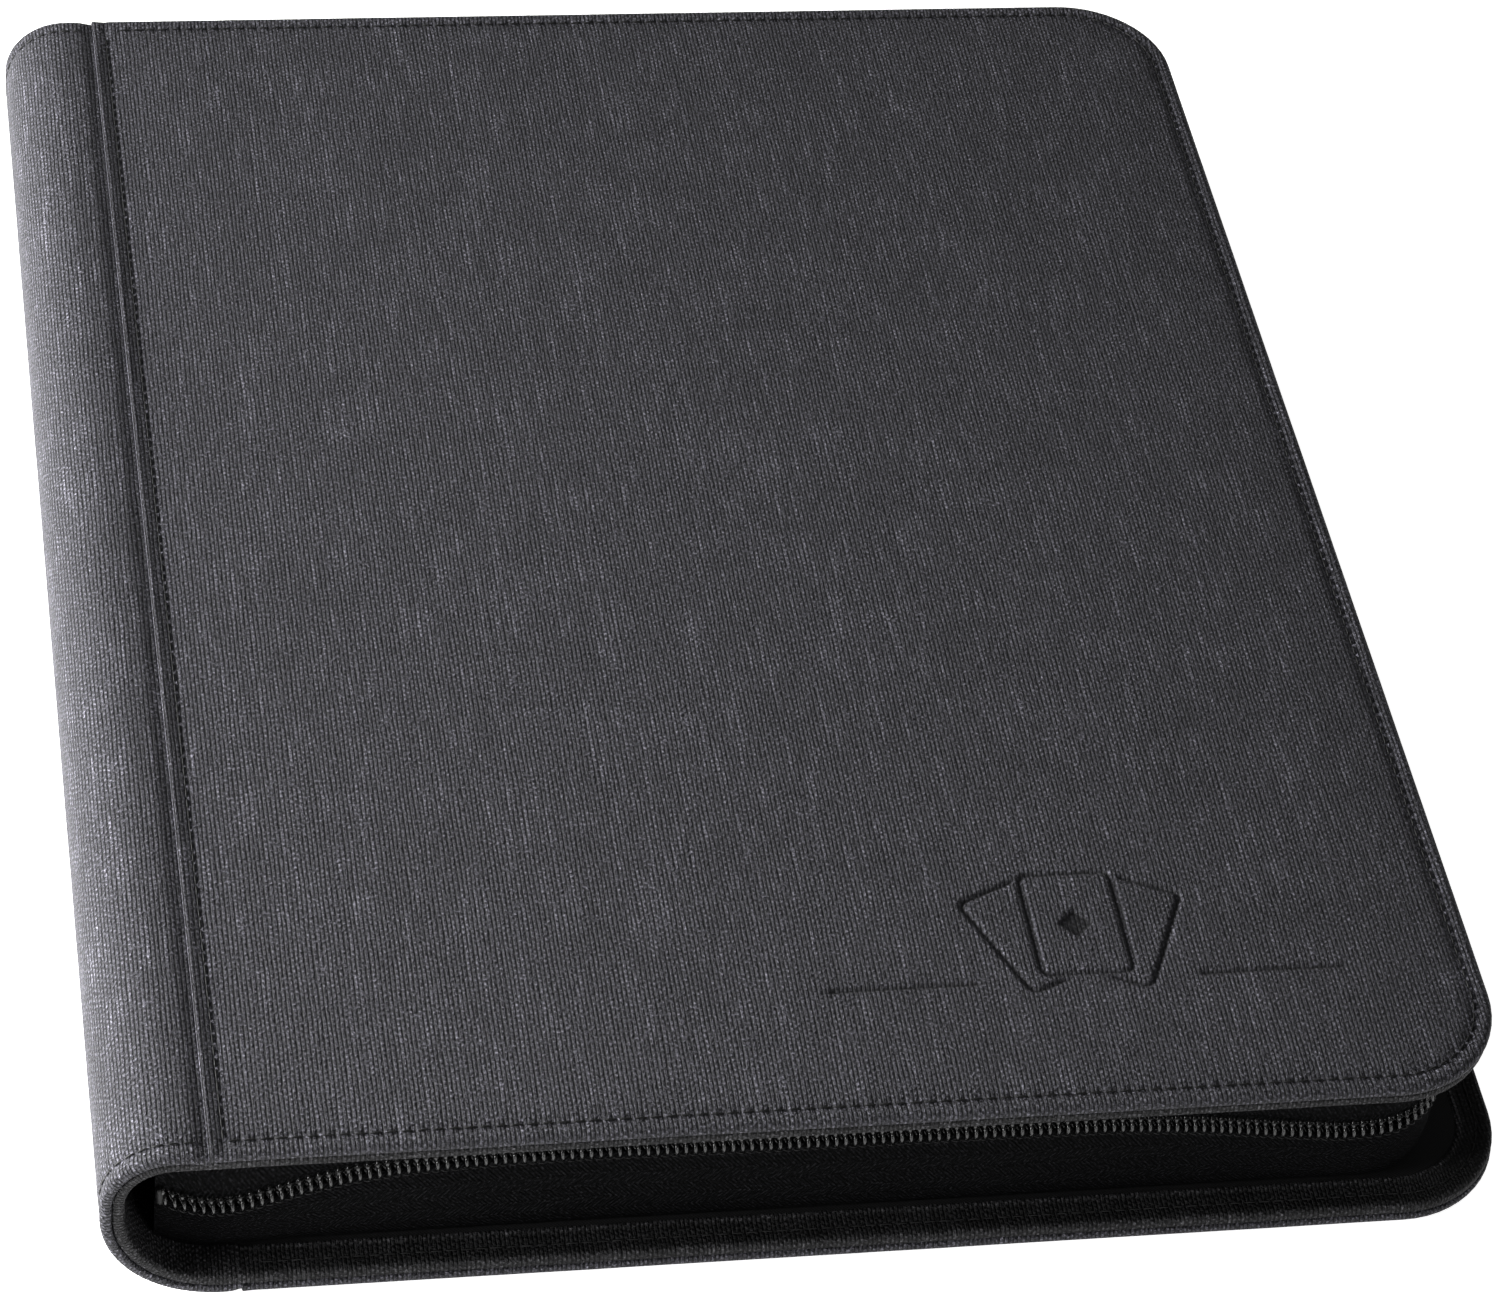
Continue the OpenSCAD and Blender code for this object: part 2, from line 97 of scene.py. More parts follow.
# Inset and depth of the cloth where it rolls over a sewn edge, from the face to the underside, in mm.
ROLLED_EDGE = (
    (6.8, 0.02), (5.6, 0.08), (4.9, 0.19), (4.3, 0.36), (3.8, 0.46), (3.3, 0.36), (2.8, 0.18),
    (2.2, 0.05), (1.6, 0.0), (1.15, 0.03), (0.75, 0.13), (0.4, 0.34), (0.15, 0.66), (0.02, 1.05),
    (0.0, 1.5), (0.05, 1.9), (0.2, 2.16), (0.5, 2.28), (1.2, 2.3),
)
# Inset and depth of the turned-in hem, from the lining over the cord to the edge of the cover.
HEM_EDGE = (
    (8.1, 4.7), (7.9, 4.98), (7.5, 5.1), (7.0, 5.06), (6.6, 4.84), (6.2, 4.76), (5.6, 4.84),
    (5.0, 4.84), (4.3, 4.72), (3.8, 4.64), (3.3, 4.74), (2.4, 4.9), (1.4, 4.88), (0.8, 4.74),
    (0.42, 4.44), (0.26, 3.9), (0.24, 3.3), (0.3, 2.8), (0.5, 2.5), (1.3, 2.42),
)
# The same for the lining of the spine, from the edge inwards.
LINER_EDGE = (
    (1.3, 2.42), (0.5, 2.5), (0.3, 2.8), (0.24, 3.3), (0.26, 3.9), (0.42, 4.44), (0.8, 4.74),
    (1.4, 4.84), (2.6, 4.82), (5.0, 4.8),
)
# Columns of a panel beside its hinge seam, from the seam.
HINGE_COLUMNS = (0.9, 1.3, 1.8, 2.2, 2.55, 2.9, 3.25, 3.6, 4.1, 4.8, 6.0, 8.0)
# Place of the emblem's middle from the fore edge and the foot of the front cover, in mm.
EMBLEM_PLACE = (80.5, 48.0)
# Rows of points round each corner of a cover's cloth.
CORNER_ROWS = 15
# Lines of the folded edge at the hinge seam: distance from the seam, depth and place on the flat cloth.
HINGE_FOLD = (
    (0.75, 1.15, -2.0), (0.2, 1.0, -1.45), (-0.1, 0.6, -1.0), (-0.12, 0.1, -0.55), (0.05, -0.3, -0.15),
    (0.4, -0.37, 0.25),
)
# Place along the zip and rise of the slack chain there, from the spine end of the foot, in mm.
SLACK = (
    (0, -4.3), (3.5, -6.2), (6.5, -7.6), (9.5, -8.7), (13, -9.1), (17.5, -8.2), (23.5, -6.1), (30.5, -3.6),
    (38.5, -1.4), (48.5, 0.2), (65.5, 1.3), (85.5, 1.6), (118, 0.9), (163, 0.8), (189, 0.4), (207, -1.2),
    (223, -3.8), (237, -5.8), (249, -5.0), (265, -3.0), (293, -1.4), (333, -0.6), (380, 0.0),
)


class Side(Enum):
    """Which cover a piece belongs to."""

    FRONT = "front"
    BACK = "back"

    @property
    def body(self) -> str:
        """Name of the body that the cover's pieces ride on."""
        return f"{self.value}_cover"


class Weave(Enum):
    """How a woven finish lays its threads."""

    RIB = "rib"
    TWILL = "twill"
    PLAIN = "plain"


# --------------------------------------------------------------------------------------------
# Finishes
# --------------------------------------------------------------------------------------------


class NodeBench:
    """Small helper that lays out the nodes of one material."""

    def __init__(self, name: str) -> None:
        """Start an empty material that holds only a shader and its output.

        Args:
            name: The material's name.
        """
        self.material = bpy.data.materials.new(name)
        self.material.use_nodes = True
        self.tree = self.material.node_tree
        self.tree.nodes.clear()
        self.output = self.tree.nodes.new("ShaderNodeOutputMaterial")
        self.shader = self.tree.nodes.new("ShaderNodeBsdfPrincipled")
        self.join(self.shader.outputs[0], self.output.inputs["Surface"])

    def join(self, source: Socket, target: Socket) -> None:
        """Link one socket to another."""
        self.tree.links.new(source, target)

    def feed(self, socket: Socket, value: object) -> None:
        """Link a socket or set it to a constant.

        Args:
            socket: The input to fill.
            value: Another socket, or a number or colour.
        """
        if isinstance(value, Socket):
            self.join(value, socket)
        else:
            socket.default_value = value

    def attribute(self, name: str) -> Socket:
        """Return the vector stored on the mesh under a name."""
        node = self.tree.nodes.new("ShaderNodeAttribute")
        node.attribute_name = name
        return node.outputs["Vector"]

    def object_mm(self) -> Socket:
        """Return the place on the piece in millimetres."""
        node = self.tree.nodes.new("ShaderNodeTexCoord")
        scale = self.tree.nodes.new("ShaderNodeVectorMath")
        scale.operation = "SCALE"
        self.join(node.outputs["Object"], scale.inputs[0])
        scale.inputs["Scale"].default_value = 1000.0
        return scale.outputs[0]

    def split(self, vector: Socket) -> tuple:
        """Return the three parts of a vector."""
        node = self.tree.nodes.new("ShaderNodeSeparateXYZ")
        self.join(vector, node.inputs[0])
        return node.outputs[0], node.outputs[1], node.outputs[2]

    def pack(self, x: object, y: object, z: object = 0.0) -> Socket:
        """Return a vector made of three parts."""
        node = self.tree.nodes.new("ShaderNodeCombineXYZ")
        for socket, value in zip(node.inputs, (x, y, z)):
            self.feed(socket, value)
        return node.outputs[0]

    def math(self, operation: str, a: object, b: object = 0.0, c: object = 0.0) -> Socket:
        """Return the result of one sum.

        Args:
            operation: Blender's name of the sum, such as ADD.
            a: First value.
            b: Second value.
            c: Third value, where the sum has one.

        Returns:
            The output socket.
        """
        node = self.tree.nodes.new("ShaderNodeMath")
        node.operation = operation
        for socket, value in zip(node.inputs, (a, b, c)):
            self.feed(socket, value)
        return node.outputs[0]

    def plus(self, a: object, b: object) -> Socket:
        """Return a and b together."""
        return self.math("ADD", a, b)

    def minus(self, a: object, b: object) -> Socket:
        """Return a less b."""
        return self.math("SUBTRACT", a, b)

    def times(self, a: object, b: object) -> Socket:
        """Return a times b."""
        return self.math("MULTIPLY", a, b)

    def scaled(self, value: object, gain: float, base: float) -> Socket:
        """Return a value times a gain, on top of a base."""
        return self.math("MULTIPLY_ADD", value, gain, base)

    def wave(self, place: object, period: float) -> Socket:
        """Return a sine wave between -1 and 1 with the given period."""
        return self.math("SINE", self.times(place, 2 * math.pi / period))

    def noise(self, vector: object, scale: float, detail: float = 2.0, rough: float = 0.5) -> Socket:
        """Return soft noise between 0 and 1."""
        node = self.tree.nodes.new("ShaderNodeTexNoise")
        self.feed(node.inputs["Vector"], vector)
        node.inputs["Scale"].default_value = scale
        node.inputs["Detail"].default_value = detail
        node.inputs["Roughness"].default_value = rough
        return node.outputs[0]

    def streaks(
        self, across: object, along: object, scales: tuple, detail: float = 2.0, rough: float = 0.5
    ) -> Socket:
        """Return noise that is drawn out along the threads.

        Args:
            across: Place, or number of the thread, across the threads.
            along: Place along the threads.
            scales: How fast the noise changes across and along.
            detail: Layers of finer noise.
            rough: Weight of the finer layers.

        Returns:
            The noise, between 0 and 1.
        """
        place = self.pack(self.times(across, scales[0]), self.times(along, scales[1]))
        return self.noise(place, 1.0, detail, rough)

    def ramp(self, value: object, low: float, high: float) -> Socket:
        """Return value stretched so that low gives 0 and high gives 1, with soft ends."""
        node = self.tree.nodes.new("ShaderNodeMapRange")
        node.interpolation_type = "SMOOTHSTEP"
        self.feed(node.inputs["Value"], value)
        node.inputs["From Min"].default_value = low
        node.inputs["From Max"].default_value = high
        return node.outputs[0]

    def mix(self, share: object, a: object, b: object) -> Socket:
        """Return the colour between a and b."""
        node = self.tree.nodes.new("ShaderNodeMix")
        node.data_type = "RGBA"
        self.feed(node.inputs["Factor"], share)
        self.feed(node.inputs["A"], a)
        self.feed(node.inputs["B"], b)
        return node.outputs["Result"]

    def surface(self, **values: object) -> None:
        """Set the shader's inputs, named in small letters with underscores for spaces."""
        for name, value in values.items():
            label = name.replace("_", " ").title().replace("Ior", "IOR")
            self.feed(self.shader.inputs[label], value)

    def bump(self, height: object, distance: float) -> None:
        """Give the shader relief from a height.

        Args:
            height: Height between 0 and 1.
            distance: Height of 1, in millimetres.
        """
        node = self.tree.nodes.new("ShaderNodeBump")
        node.inputs["Strength"].default_value = 1.0
        node.inputs["Distance"].default_value = distance * MM
        self.feed(node.inputs["Height"], height)
        self.join(node.outputs[0], self.shader.inputs["Normal"])


@dataclass(frozen=True)
class ClothFinish:
    """A woven cloth whose threads are laid out on the flat cloth."""

    name: str
    weave: Weave
    dark: tuple
    light: tuple
    pitch: float = 0.9
    bead: float = 1.35
    roughness: float = 0.6
    sheen: float = 0.0
    specular: float = 0.4
    relief: float = 0.22
    pressing: float = 0.75
    sewn: bool = False
    # Whether the finish paints highlight on a hem's raised cord and outer edge, with painted shade on the
    # ledge between.
    corded: bool = False

    def make(self) -> Material:
        """Return the finished material."""
        bench = NodeBench(self.name)
        across, along, _ = bench.split(bench.attribute(WEAVE))
        if self.weave is Weave.RIB:
            height, tone = self._ribs(bench, across, along)
        elif self.weave is Weave.TWILL:
            height, tone = self._twill(bench, across, along)
        else:
            height, tone = self._plain(bench, across, along)
        colour = bench.mix(tone, (*self.dark, 1), (*self.light, 1))
        if self.sewn:
            height, colour = self._sewn(bench, height, colour)
        # Painted highlight on the hem's raised cord and outer edge, painted shade on the ledge between.
        if self.corded:
            colour = self._corded(bench, across, along, colour)
        bench.surface(
            base_color=colour, roughness=self.roughness, specular_ior_level=self.specular,
            sheen_weight=self.sheen, sheen_roughness=0.45,
        )
        bench.bump(height, self.relief)
        return bench.material

    def _sewn(self, bench: NodeBench, height: Socket, colour: Socket) -> tuple:
        """Flatten the cloth where it is pressed and let the stitches pull it in.

        Args:
            bench: The material being laid out.
            height: Height of the cloth.
            colour: Its colour.

        Returns:
            The new height and colour.
        """
        inset, run, pressed = bench.split(bench.attribute(EDGE))
        dulled = bench.times(pressed, self.pressing)
        height = bench.times(height, bench.minus(1.0, dulled))
        pull = bench.wave(run, STITCH_PITCH)
        near = bench.math("ABSOLUTE", bench.minus(inset, STITCH_INSET))
        near = bench.minus(1.0, bench.ramp(near, 0.2, 1.8))
        height = bench.plus(height, bench.times(bench.times(pull, near), 0.45))
        return height, bench.mix(dulled, colour, (0.006, 0.006, 0.006, 1))

    def _corded(
        self, bench: NodeBench, across: Socket, along: Socket,
        colour: Socket,
    ) -> Socket:
        """Paint highlight on the hem's raised cord and outer edge and painted shade on the flat ledge between
        them; worn patches lighten it at random.

        Args:
            bench: The material being laid out.
            across: Place across the ribs, in millimetres.
            along: Place along the ribs, in millimetres.
            colour: Colour of the cloth.

        Returns:
            The new colour.
        """
        inset, _, _ = bench.split(bench.attribute(EDGE))
        # Painted highlight: the raised cord and the rolled outer edge keep the ribbed colour; the flat ledge
        # between them is painted shade, pulled towards the plain dark colour.
        cord_highlight = bench.ramp(inset, 6.5, 7.1)
        edge_highlight = bench.minus(1.0, bench.ramp(inset, 0.7, 1.6))
        worn = bench.ramp(bench.noise(bench.pack(across, along), 0.16, 3.0, 0.6), 0.35, 0.68)
        highlight_and_wear = bench.plus(bench.times(bench.plus(cord_highlight, edge_highlight), 0.75), bench.scaled(worn, 0.3, 0.12))
        return bench.mix(bench.math("MINIMUM", highlight_and_wear, 1.0), (*self.dark, 1), colour)

    def _ribs(self, bench: NodeBench, across: Socket, along: Socket) -> tuple:
        """Beaded ribs that run along the cloth, with slubs, broken gaps and short pale runs of thread.

        Args:
            bench: The material being laid out.
            across: Place across the ribs, in millimetres.
            along: Place along the ribs, in millimetres.

        Returns:
            The height and the tone, both between 0 and 1.
        """
        place = bench.pack(across, along)
        drift = bench.streaks(across, along, (0.3, 0.05))
        drift = bench.times(bench.minus(drift, 0.5), 0.9)
        phase = bench.plus(bench.math("DIVIDE", across, self.pitch), drift)
        number = bench.math("FLOOR", phase)
        rib = bench.ramp(bench.math("ABSOLUTE", bench.wave(phase, 2.0)), 0.26, 0.84)
        gap = bench.math("FLOOR", bench.plus(phase, 0.5))
        bridge = bench.streaks(gap, along, (9.13, 0.8), 2.0, 0.6)
        rib = bench.math("MAXIMUM", rib, bench.times(bench.ramp(bridge, 0.5, 0.62), 0.7))
        jog = bench.streaks(number, along, (7.31, 0.09))
        beat = bench.plus(bench.math("DIVIDE", along, self.bead), bench.times(jog, 1.4))
        beat = bench.plus(beat, bench.times(number, 0.5))
        bead = bench.scaled(bench.wave(beat, 1.0), 0.5, 0.5)
        slub = bench.ramp(bench.streaks(number, along, (3.31, 0.06), 2.0, 0.6), 0.5, 0.72)
        grain = bench.ramp(bench.noise(place, 1.35, 3.0, 0.7), 0.36, 0.66)
        speck = bench.ramp(bench.noise(place, 2.6, 2.0, 0.6), 0.4, 0.64)
        patches = bench.noise(place, 0.05, 3.0, 0.55)
        body = bench.times(rib, bench.scaled(bead, 0.68, 0.32))
        height = bench.plus(bench.times(body, 0.7), bench.times(grain, 0.3))
        tone = bench.times(body, bench.scaled(grain, 0.9, 0.1))
        for share, gain, base in ((slub, 0.8, 0.7), (speck, 0.9, 0.3), (patches, 0.7, 0.65)):
            tone = bench.times(tone, bench.scaled(share, gain, base))
        return height, tone

    def _twill(self, bench: NodeBench, across: Socket, along: Socket) -> tuple:
        """Herringbone tape: short slanted threads whose slant changes every few millimetres.

        Args:
            bench: The material being laid out.
            across: Place along the tape, in millimetres.
            along: Place over the width of the tape, in millimetres.

        Returns:
            The height and the tone, both between 0 and 1.
        """
        fold = bench.math("PINGPONG", along, 3.2)
        slant = bench.plus(across, bench.times(fold, 0.9))
        line = bench.scaled(bench.wave(slant, self.pitch), 0.5, 0.5)
        grain = bench.noise(bench.pack(across, along), 1.7, 3.0, 0.7)
        height = bench.plus(bench.times(line, 0.7), bench.times(grain, 0.3))
        tone = bench.times(bench.ramp(grain, 0.46, 0.7), bench.scaled(line, 0.6, 0.4))
        return height, tone

    def _plain(self, bench: NodeBench, across: Socket, along: Socket) -> tuple:
        """Fine plain weave of a lining.

        Args:
            bench: The material being laid out.
            across: Place across the cloth, in millimetres.
            along: Place along the cloth, in millimetres.

        Returns:
            The height and the tone, both between 0 and 1.
        """
        warp, weft = bench.wave(across, self.pitch), bench.wave(along, self.pitch)
        cross = bench.scaled(bench.times(warp, weft), 0.5, 0.5)
        grain = bench.noise(bench.pack(across, along), 1.3, 2.0, 0.6)
        height = bench.plus(bench.times(cross, 0.7), bench.times(grain, 0.3))
        return height, height


@dataclass(frozen=True)
class SolidFinish:
    """A moulded, sheet, foam or metal finish that needs no thread layout."""

    name: str
    dark: tuple
    light: tuple
    grain: float = 0.8
    stretch: tuple = (1.0, 1.0, 1.0)
    roughness: tuple = (0.3, 0.5)
    metallic: float = 0.0
    specular: float = 0.5
    coat: float = 0.0
    relief: float = 0.02

    def make(self) -> Material:
        """Return the finished material."""
        bench = NodeBench(self.name)
        parts = bench.split(bench.object_mm())
        place = bench.pack(*(bench.times(part, share) for part, share in zip(parts, self.stretch)))
        fine = bench.noise(place, self.grain, 4.0, 0.6)
        broad = bench.noise(place, self.grain * 0.08, 2.0, 0.5)
        tone = bench.ramp(bench.plus(bench.times(fine, 0.6), bench.times(broad, 0.4)), 0.3, 0.7)
        low, high = self.roughness
        bench.surface(
            base_color=bench.mix(tone, (*self.dark, 1), (*self.light, 1)),
            roughness=bench.scaled(broad, high - low, low),
            metallic=self.metallic, specular_ior_level=self.specular,
            coat_weight=self.coat, coat_roughness=0.12,
        )
        bench.bump(fine, self.relief)
        return bench.material


def finish(kind: type, *sizes: object, **looks: object) -> object:
    """Return a dataclass field that holds the material of one finish, made when the set is made."""
    return field(default_factory=kind(*sizes, **looks).make)


@dataclass(frozen=True)
class FinishSet:
    """Every finish of the binder, made once."""

    cover: Material = finish(
        ClothFinish, "charcoal_book_cloth", Weave.RIB, (0.002, 0.002, 0.003), (0.225, 0.219, 0.262),
        roughness=0.62, sheen=0.02, specular=0.16, relief=0.75, sewn=True,
    )
    # The hem carries painted highlight on its cord and outer edge and painted shade on the ledge between.
    hem: Material = finish(
        ClothFinish, "ribbed_hem_cloth", Weave.RIB, (0.0015, 0.0015, 0.0015), (0.115, 0.113, 0.122),
        specular=0.1, relief=0.5, corded=True,
    )
    lining: Material = finish(
        ClothFinish, "black_lining", Weave.PLAIN, (0.002, 0.002, 0.002), (0.01, 0.01, 0.0105),
        pitch=0.7, roughness=0.7, specular=0.12, relief=0.06,
    )
    tape: Material = finish(
        ClothFinish, "herringbone_tape", Weave.TWILL, (0.0006, 0.0006, 0.0006), (0.014, 0.014, 0.0155),
        pitch=0.95, roughness=0.75, specular=0.02, relief=0.2,
    )
    thread: Material = finish(
        SolidFinish, "sewing_thread", (0.002, 0.002, 0.002), (0.009, 0.009, 0.009),
        grain=6.0, roughness=(0.4, 0.6), specular=0.2, relief=0.05,
    )
    nylon: Material = finish(
        SolidFinish, "coil_nylon", (0.004, 0.004, 0.004), (0.012, 0.012, 0.012),
        grain=2.0, roughness=(0.18, 0.3), specular=0.6, relief=0.01,
    )
    metal: Material = finish(
        SolidFinish, "black_lacquer", (0.01, 0.01, 0.011), (0.024, 0.024, 0.026),
        grain=1.6, roughness=(0.28, 0.44), metallic=0.4, coat=0.3, relief=0.01,
    )
    page: Material = finish(
        SolidFinish, "pocket_sheet", (0.012, 0.012, 0.013), (0.032, 0.032, 0.034),
        grain=0.25, specular=0.35, coat=0.08, relief=0.12,
    )
    board: Material = finish(
        SolidFinish, "grey_board", (0.26, 0.24, 0.21), (0.4, 0.38, 0.34),
        grain=1.2, roughness=(0.8, 0.95), relief=0.05,
    )
    foam: Material = finish(
        SolidFinish, "pad_foam", (0.22, 0.22, 0.23), (0.34, 0.34, 0.35),
        grain=2.4, roughness=(0.85, 0.95), relief=0.12,
    )
    binding: Material = finish(
        SolidFinish, "binding_cloth", (0.003, 0.003, 0.003), (0.014, 0.014, 0.0145),
        grain=2.2, stretch=(1.0, 0.5, 1.0), roughness=(0.65, 0.85), specular=0.2, relief=0.14,
    )


# --------------------------------------------------------------------------------------------
# The bench: places, meshes and pieces
# --------------------------------------------------------------------------------------------


@dataclass(frozen=True)
class Bench:
    """Sizes of the binder on the maker's bench, in millimetres.

    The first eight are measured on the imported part: seam and foot are where the front hinge seam and
    the foot of the covers lie in its frame. The others are fixed.
    """

    seam: float
    foot: float
    length: float
    width: float
    thick: float
    back_seam: float
    back_edge: float
    bulge: float
    corner: float = 24.0
    cover: float = 4.8
    top_radius: float = 14.0
    base_radius: float = 24.0
    zip_inset: float = 8.0

    @classmethod
    def read(cls) -> "Bench":
        """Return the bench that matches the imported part."""
        low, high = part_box("front_cloth")
        back_low, back_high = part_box("back_cloth")
        spine_low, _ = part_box("spine_strip_3")
        return cls(
            seam=low.x / MM,
            foot=low.y / MM,
            length=(high.y - low.y) / MM,
            width=(high.x - low.x) / MM,
            thick=high.z / MM,
            back_seam=(back_low.x - low.x) / MM,
            back_edge=(back_high.x - low.x) / MM,
            bulge=(low.x - spine_low.x) / MM,
        )

    def place(self, points: Array) -> Array:
        """Return bench points in the part's frame, in metres.

        Args:
            points: Points in millimetres, one to a row.

        Returns:
            The same points in metres.
        """
        return (np.asarray(points, float) + np.array([self.seam, self.foot, 0.0])) * MM

    def spot(self, x: float, y: float, z: float) -> tuple:
        """Return one bench point in the part's frame."""
        return tuple(float(v) for v in self.place(np.array([[x, y, z]]))[0])


@dataclass
class Shape:
    """Points and faces that are gathered into one mesh."""

    points: list = field(default_factory=list)
    weave: list = field(default_factory=list)
    edge: list = field(default_factory=list)
    faces: list = field(default_factory=list)
    count: int = 0

    def add(self, points: Array, weave: Optional[Array] = None, edge: Optional[Array] = None) -> int:
        """Add points and return the number of the first.

        Args:
            points: Points in millimetres.
            weave: Place on the flat cloth, two numbers to a point.
            edge: Distance from the sewn edge, run along it and how far the cloth is pressed.

        Returns:
            The number of the first point added.
        """
        first, n = self.count, len(points)
        self.points.append(np.asarray(points, float))
        flat = np.zeros((n, 3)) if weave is None else np.column_stack([weave, np.zeros(n)])
        self.weave.append(flat)
        self.edge.append(np.tile([FAR_EDGE, 0.0, 0.0], (n, 1)) if edge is None else np.asarray(edge, float))
        self.count += n
        return first

    def grid(self, first: int, rows: int, columns: int) -> None:
        """Join rows of points into four-sided faces."""
        r, c = np.meshgrid(np.arange(rows - 1), np.arange(columns - 1), indexing="ij")
        a = (first + r * columns + c).ravel()
        self.faces.append(np.column_stack([a, a + 1, a + columns + 1, a + columns]))

    def strip(self, one: Array, other: Array) -> None:
        """Join two lines of point numbers into four-sided faces."""
        self.faces.append(np.column_stack([one[:-1], one[1:], other[1:], other[:-1]]))

    def build(self, name: str, bench: Bench, material: Material, turn: bool = True) -> Piece:
        """Return the object made of everything gathered.

        Args:
            name: The object's name.
            bench: The bench that places the points.
            material: The finish.
            turn: Whether to turn the faces so that they all look outwards.

        Returns:
            The new object, linked to the scene.
        """
        mesh = bpy.data.meshes.new(name)
        points = bench.place(np.vstack(self.points))
        mesh.from_pydata(points.tolist(), [], np.vstack(self.faces).tolist())
        for label, values in ((WEAVE, self.weave), (EDGE, self.edge)):
            layer = mesh.attributes.new(label, "FLOAT_VECTOR", "POINT")
            layer.data.foreach_set("vector", np.vstack(values).astype(np.float32).ravel())
        mesh.polygons.foreach_set("use_smooth", np.ones(len(mesh.polygons), dtype=bool))
        if turn:
            work = bmesh.new()
            work.from_mesh(mesh)
            bmesh.ops.recalc_face_normals(work, faces=work.faces)
            work.to_mesh(mesh)
            work.free()
        mesh.materials.append(material)
        piece = bpy.data.objects.new(name, mesh)
        bpy.context.scene.collection.objects.link(piece)
        return piece


def unit(rows: Array) -> Array:
    """Return vectors, one to a row, made one long."""
    return rows / (np.linalg.norm(rows, axis=1)[:, None] + 1e-12)


def run_of(line: Array) -> Array:
    """Return how far along a line each of its points lies."""
    return np.concatenate([[0], np.cumsum(np.linalg.norm(np.diff(line, axis=0), axis=1))])


def read_off(run: Array, runs: Array, rows: Array) -> Array:
    """Return values read off a table at places along a line.

    Args:
        run: The places.
        runs: Place of each row of the table.
        rows: The table, two values to a row.

    Returns:
        Two values for each place.
    """
    return np.column_stack([np.interp(run, runs, rows[:, k]) for k in (0, 1)])


def bead_line(
    shape: Shape, path: Array, radius: float = THREAD_RADIUS, sides: int = THREAD_SIDES
) -> None:
    """Add a round thread or wire that follows a line of points and narrows at both ends.

    Args:
        shape: Where the points go.
        path: The line, one point to a row, in millimetres.
        radius: Radius of the thread.
        sides: Number of sides of its section.
    """
    step = unit(np.gradient(path, axis=0))
    up = np.tile([0.0, 0.0, 1.0], (len(path), 1))
    up[np.abs(step[:, 2]) > 0.9] = [1.0, 0.0, 0.0]
    side = unit(np.cross(step, up))
    lift = np.cross(side, step)
    turn = np.linspace(0, 2 * math.pi, sides, endpoint=False)
    size = np.full(len(path), radius)
    size[0] = size[-1] = radius * 0.25
    ring = path[:, None, :] + size[:, None, None] * (
        np.cos(turn)[None, :, None] * side[:, None, :] + np.sin(turn)[None, :, None] * lift[:, None, :]
    )
    first = shape.add(ring.reshape(-1, 3))
    starts = first + np.arange(len(path)) * sides
    for k in range(sides):
        shape.strip(starts + k, starts + (k + 1) % sides)


def settle(piece: Piece, body: str, slot: str, *nodes: str) -> Piece:
    """Let a piece ride on a body and hide the nodes that it stands for."""
    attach(piece, body)
    if nodes:
        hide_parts(*nodes)
    return piece


# --------------------------------------------------------------------------------------------
# Emblem
# --------------------------------------------------------------------------------------------


@dataclass(frozen=True)
class Emblem:
    """Three blank cards in a fan between two plain rules, pressed into the front panel."""

    x: float
    y: float
    card: float = 20.0
    line: float = 1.0
    soft: float = 0.28
    fan: float = 24.0
    depth: float = 0.5
    grid: float = 0.5

    def _card(self, u: Array, v: Array) -> Array:
        """Return how far points lie outside a card with round corners.

        Args:
            u: Place across the card.
            v: Place up the card.

        Returns:
            The distance, below 0 inside.
        """
        r = self.card * 0.12
        hx, hy = self.card / 2 - r, self.card * 0.7 - r
        dx, dy = np.abs(u) - hx, np.abs(v) - hy
        return np.hypot(np.maximum(dx, 0), np.maximum(dy, 0)) + np.minimum(np.maximum(dx, dy), 0) - r

    def _share(self, outside: Array) -> Array:
        """Return the share pressed at a distance outside the edge of a mark."""
        return np.clip((self.soft - outside) / (2 * self.soft), 0, 1)

    def press(self, x: Array, y: Array) -> Array:
        """Return how far each point is pressed in, from 0 to 1.

        Args:
            x: Bench place from the hinge seam.
            y: Bench place from the foot.

        Returns:
            The share of the full depth.
        """
        u, v = x - self.x, y - self.y
        card, half = self.card, self.line / 2
        front = self._card(u, v)
        marks = self._share(np.abs(front + half) - half)
        pip = card * 0.198 - np.abs(u) - np.abs(v)
        marks = np.maximum(marks, np.clip(pip / 0.5, 0, 1))
        drop = card * 1.1
        for side in (-1, 1):
            turn = math.radians(side * self.fan)
            low = v + drop
            turned_u = math.cos(turn) * u - math.sin(turn) * low
            turned_v = math.sin(turn) * u + math.cos(turn) * low - drop
            behind = self._share(np.abs(self._card(turned_u, turned_v) + half) - half)
            marks = np.maximum(marks, np.where(front > self.line, behind, 0))
            rule = np.maximum(np.abs(u - side * card * 1.9) - card * 0.75, np.abs(v + card * 0.75) - half)
            marks = np.maximum(marks, self._share(rule))
        return marks


# --------------------------------------------------------------------------------------------
# Covers
# --------------------------------------------------------------------------------------------


def soft_noise(values: Array, seed: int, waves: int, longest: float) -> Array:
    """Return a slow wander between about -1 and 1 along a run.

    Args:
        values: Place along the run, in millimetres.
        seed: Number that picks the wander.
        waves: How many waves are added.
        longest: Length of the longest wave.

    Returns:
        One number for each place.
    """
    rng = np.random.default_rng(seed)
    total = np.zeros_like(values, dtype=float)
    for k in range(waves):
        total += np.sin(2 * math.pi * values * (k + 1) / longest + rng.uniform(0, 6.28)) / (k + 1.5)
    return total / 1.6


